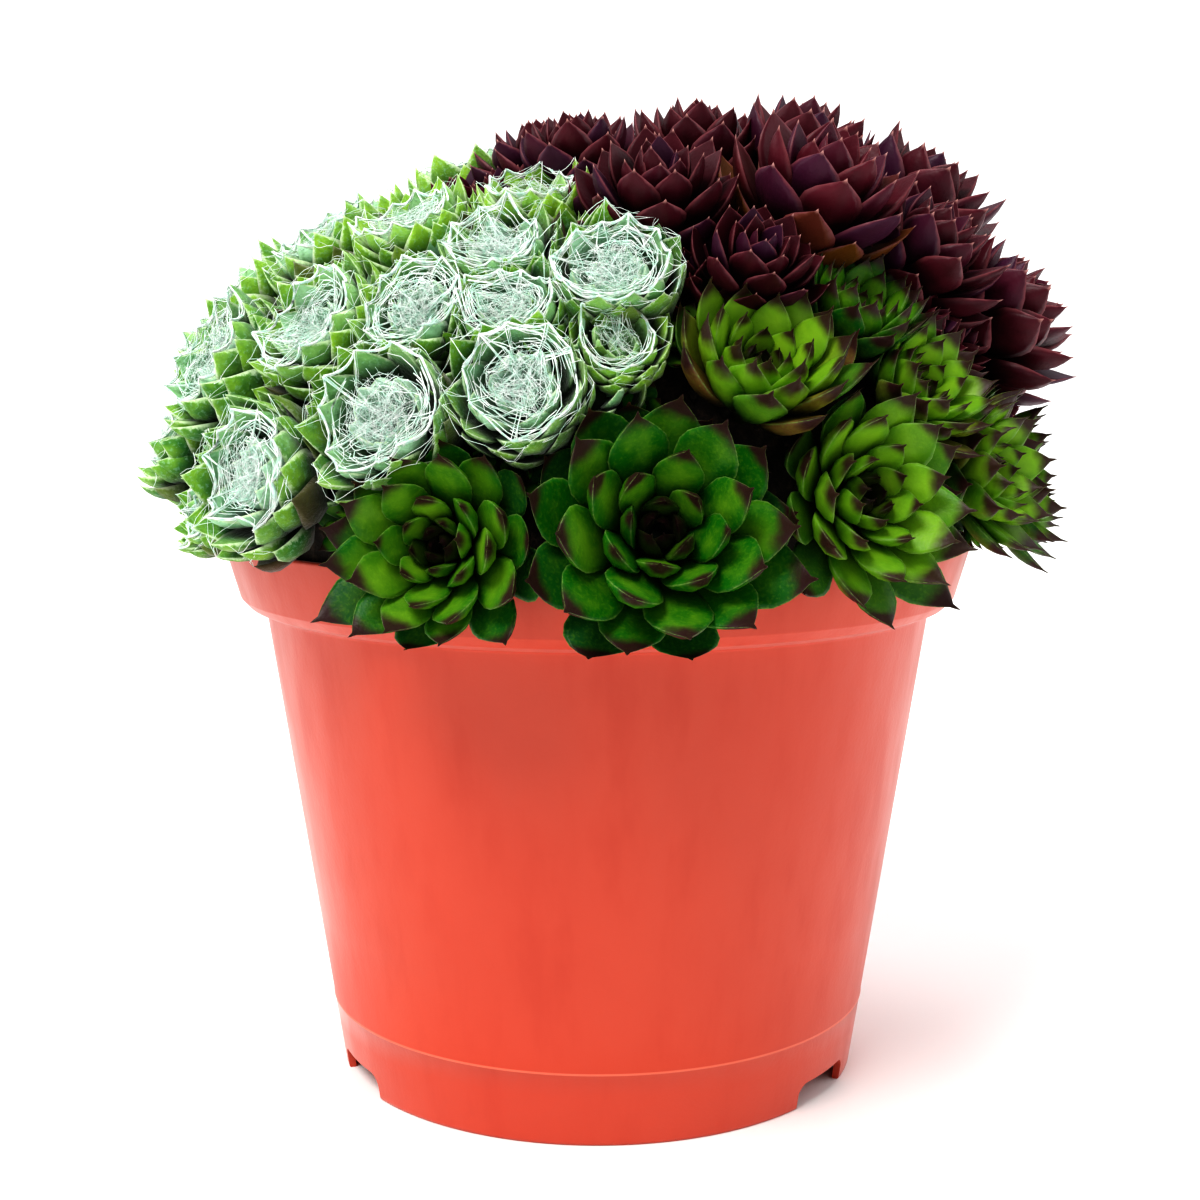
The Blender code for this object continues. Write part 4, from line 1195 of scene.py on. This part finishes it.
def makeCrumbs(material):
    # Crumbs on the dome: octahedra stretched and turned at random, spread by the golden angle
    shape = compostShape
    rng = np.random.default_rng(shape["seed"])
    count = shape["crumbs"]
    order = np.arange(count) + 0.5
    elevation, azimuth = np.arcsin(order / count), order * goldenAngle
    across, up = np.cos(elevation), np.sin(elevation)
    reach = domeReach(across, up) - shape["sunk"]
    centres = np.stack([reach * across * np.cos(azimuth), reach * across * np.sin(azimuth),
                        dome["base"] + reach * up], -1)
    centres[:, 0] += domeShift(centres[:, 2])
    corner = np.array([(1, 0, 0), (0, 1, 0), (-1, 0, 0), (0, -1, 0), (0, 0, 1), (0, 0, -1)], float)
    stretch = rng.uniform(*shape["crumbSize"], (count, 1, 3))
    spin = np.linalg.qr(rng.normal(size=(count, 3, 3)))[0]
    shapes = (corner[None] * stretch) @ spin + centres[:, None]
    sides = [(0, 1, 4), (1, 2, 4), (2, 3, 4), (3, 0, 4), (1, 0, 5), (2, 1, 5), (3, 2, 5), (0, 3, 5)]
    flip = np.linalg.det(spin) < 0.0  # a spin that mirrors turns its crumb inside out
    faces = repeated(sides, count, len(corner)).reshape(count, len(sides), 3)
    faces[flip] = faces[flip][:, :, ::-1]
    piece = buildMesh("compostCrumbs", shapes.reshape(-1, 3), [faces.reshape(-1, 3)], material, flat=True)
    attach(piece, "root")


def makeCompostMaterial():
    look = compostLook
    material, tree, shader = newMaterial("darkCompost", look["roughness"])
    lump = noiseValue(tree, objectCoordinates(tree), *look["lump"])
    colour = mixColour(tree, smoothStep(tree, lump, *look["lumpSpan"]), look["soil"], look["crumb"])
    tree.links.new(colour, shader.inputs["Base Color"])
    addBump(tree, shader, lump, look["bump"])
    return material


# Floor

floorLook = {"size": 3.0, "colour": (0.92, 0.92, 0.92, 1.0), "roughness": 0.6}


def makeFloor():
    half = 0.5 * floorLook["size"] / mm
    material, _, shader = newMaterial("paleFloor", floorLook["roughness"])
    shader.inputs["Base Color"].default_value = floorLook["colour"]
    corners = np.array([(-half, -half, 0.0), (half, -half, 0.0), (half, half, 0.0), (-half, half, 0.0)])
    floor = buildMesh("floor", corners, [np.arange(4)[None]], material)


makeCamera()
makeLamps()
makeFloor()
print("camera, lamps and floor made")
makePot(makePotMaterial())
print("pot made")
soil = makeCompostMaterial()
makeCompost(soil)
makeCrumbs(soil)
print("compost made")
leafMaterials = {kind: makeLeafMaterial(kind) for kind in kinds}
webMaterial = makeWebMaterial()
rosettes = placeRosettes()
for rosette in rosettes:
    makeRosette(rosette, leafMaterials[rosette["kind"]])
    if rosette["kind"] == "cobweb":
        makeWeb(rosette, webMaterial)
print("rosettes and webs made")
makePups(rosettes, leafMaterials)
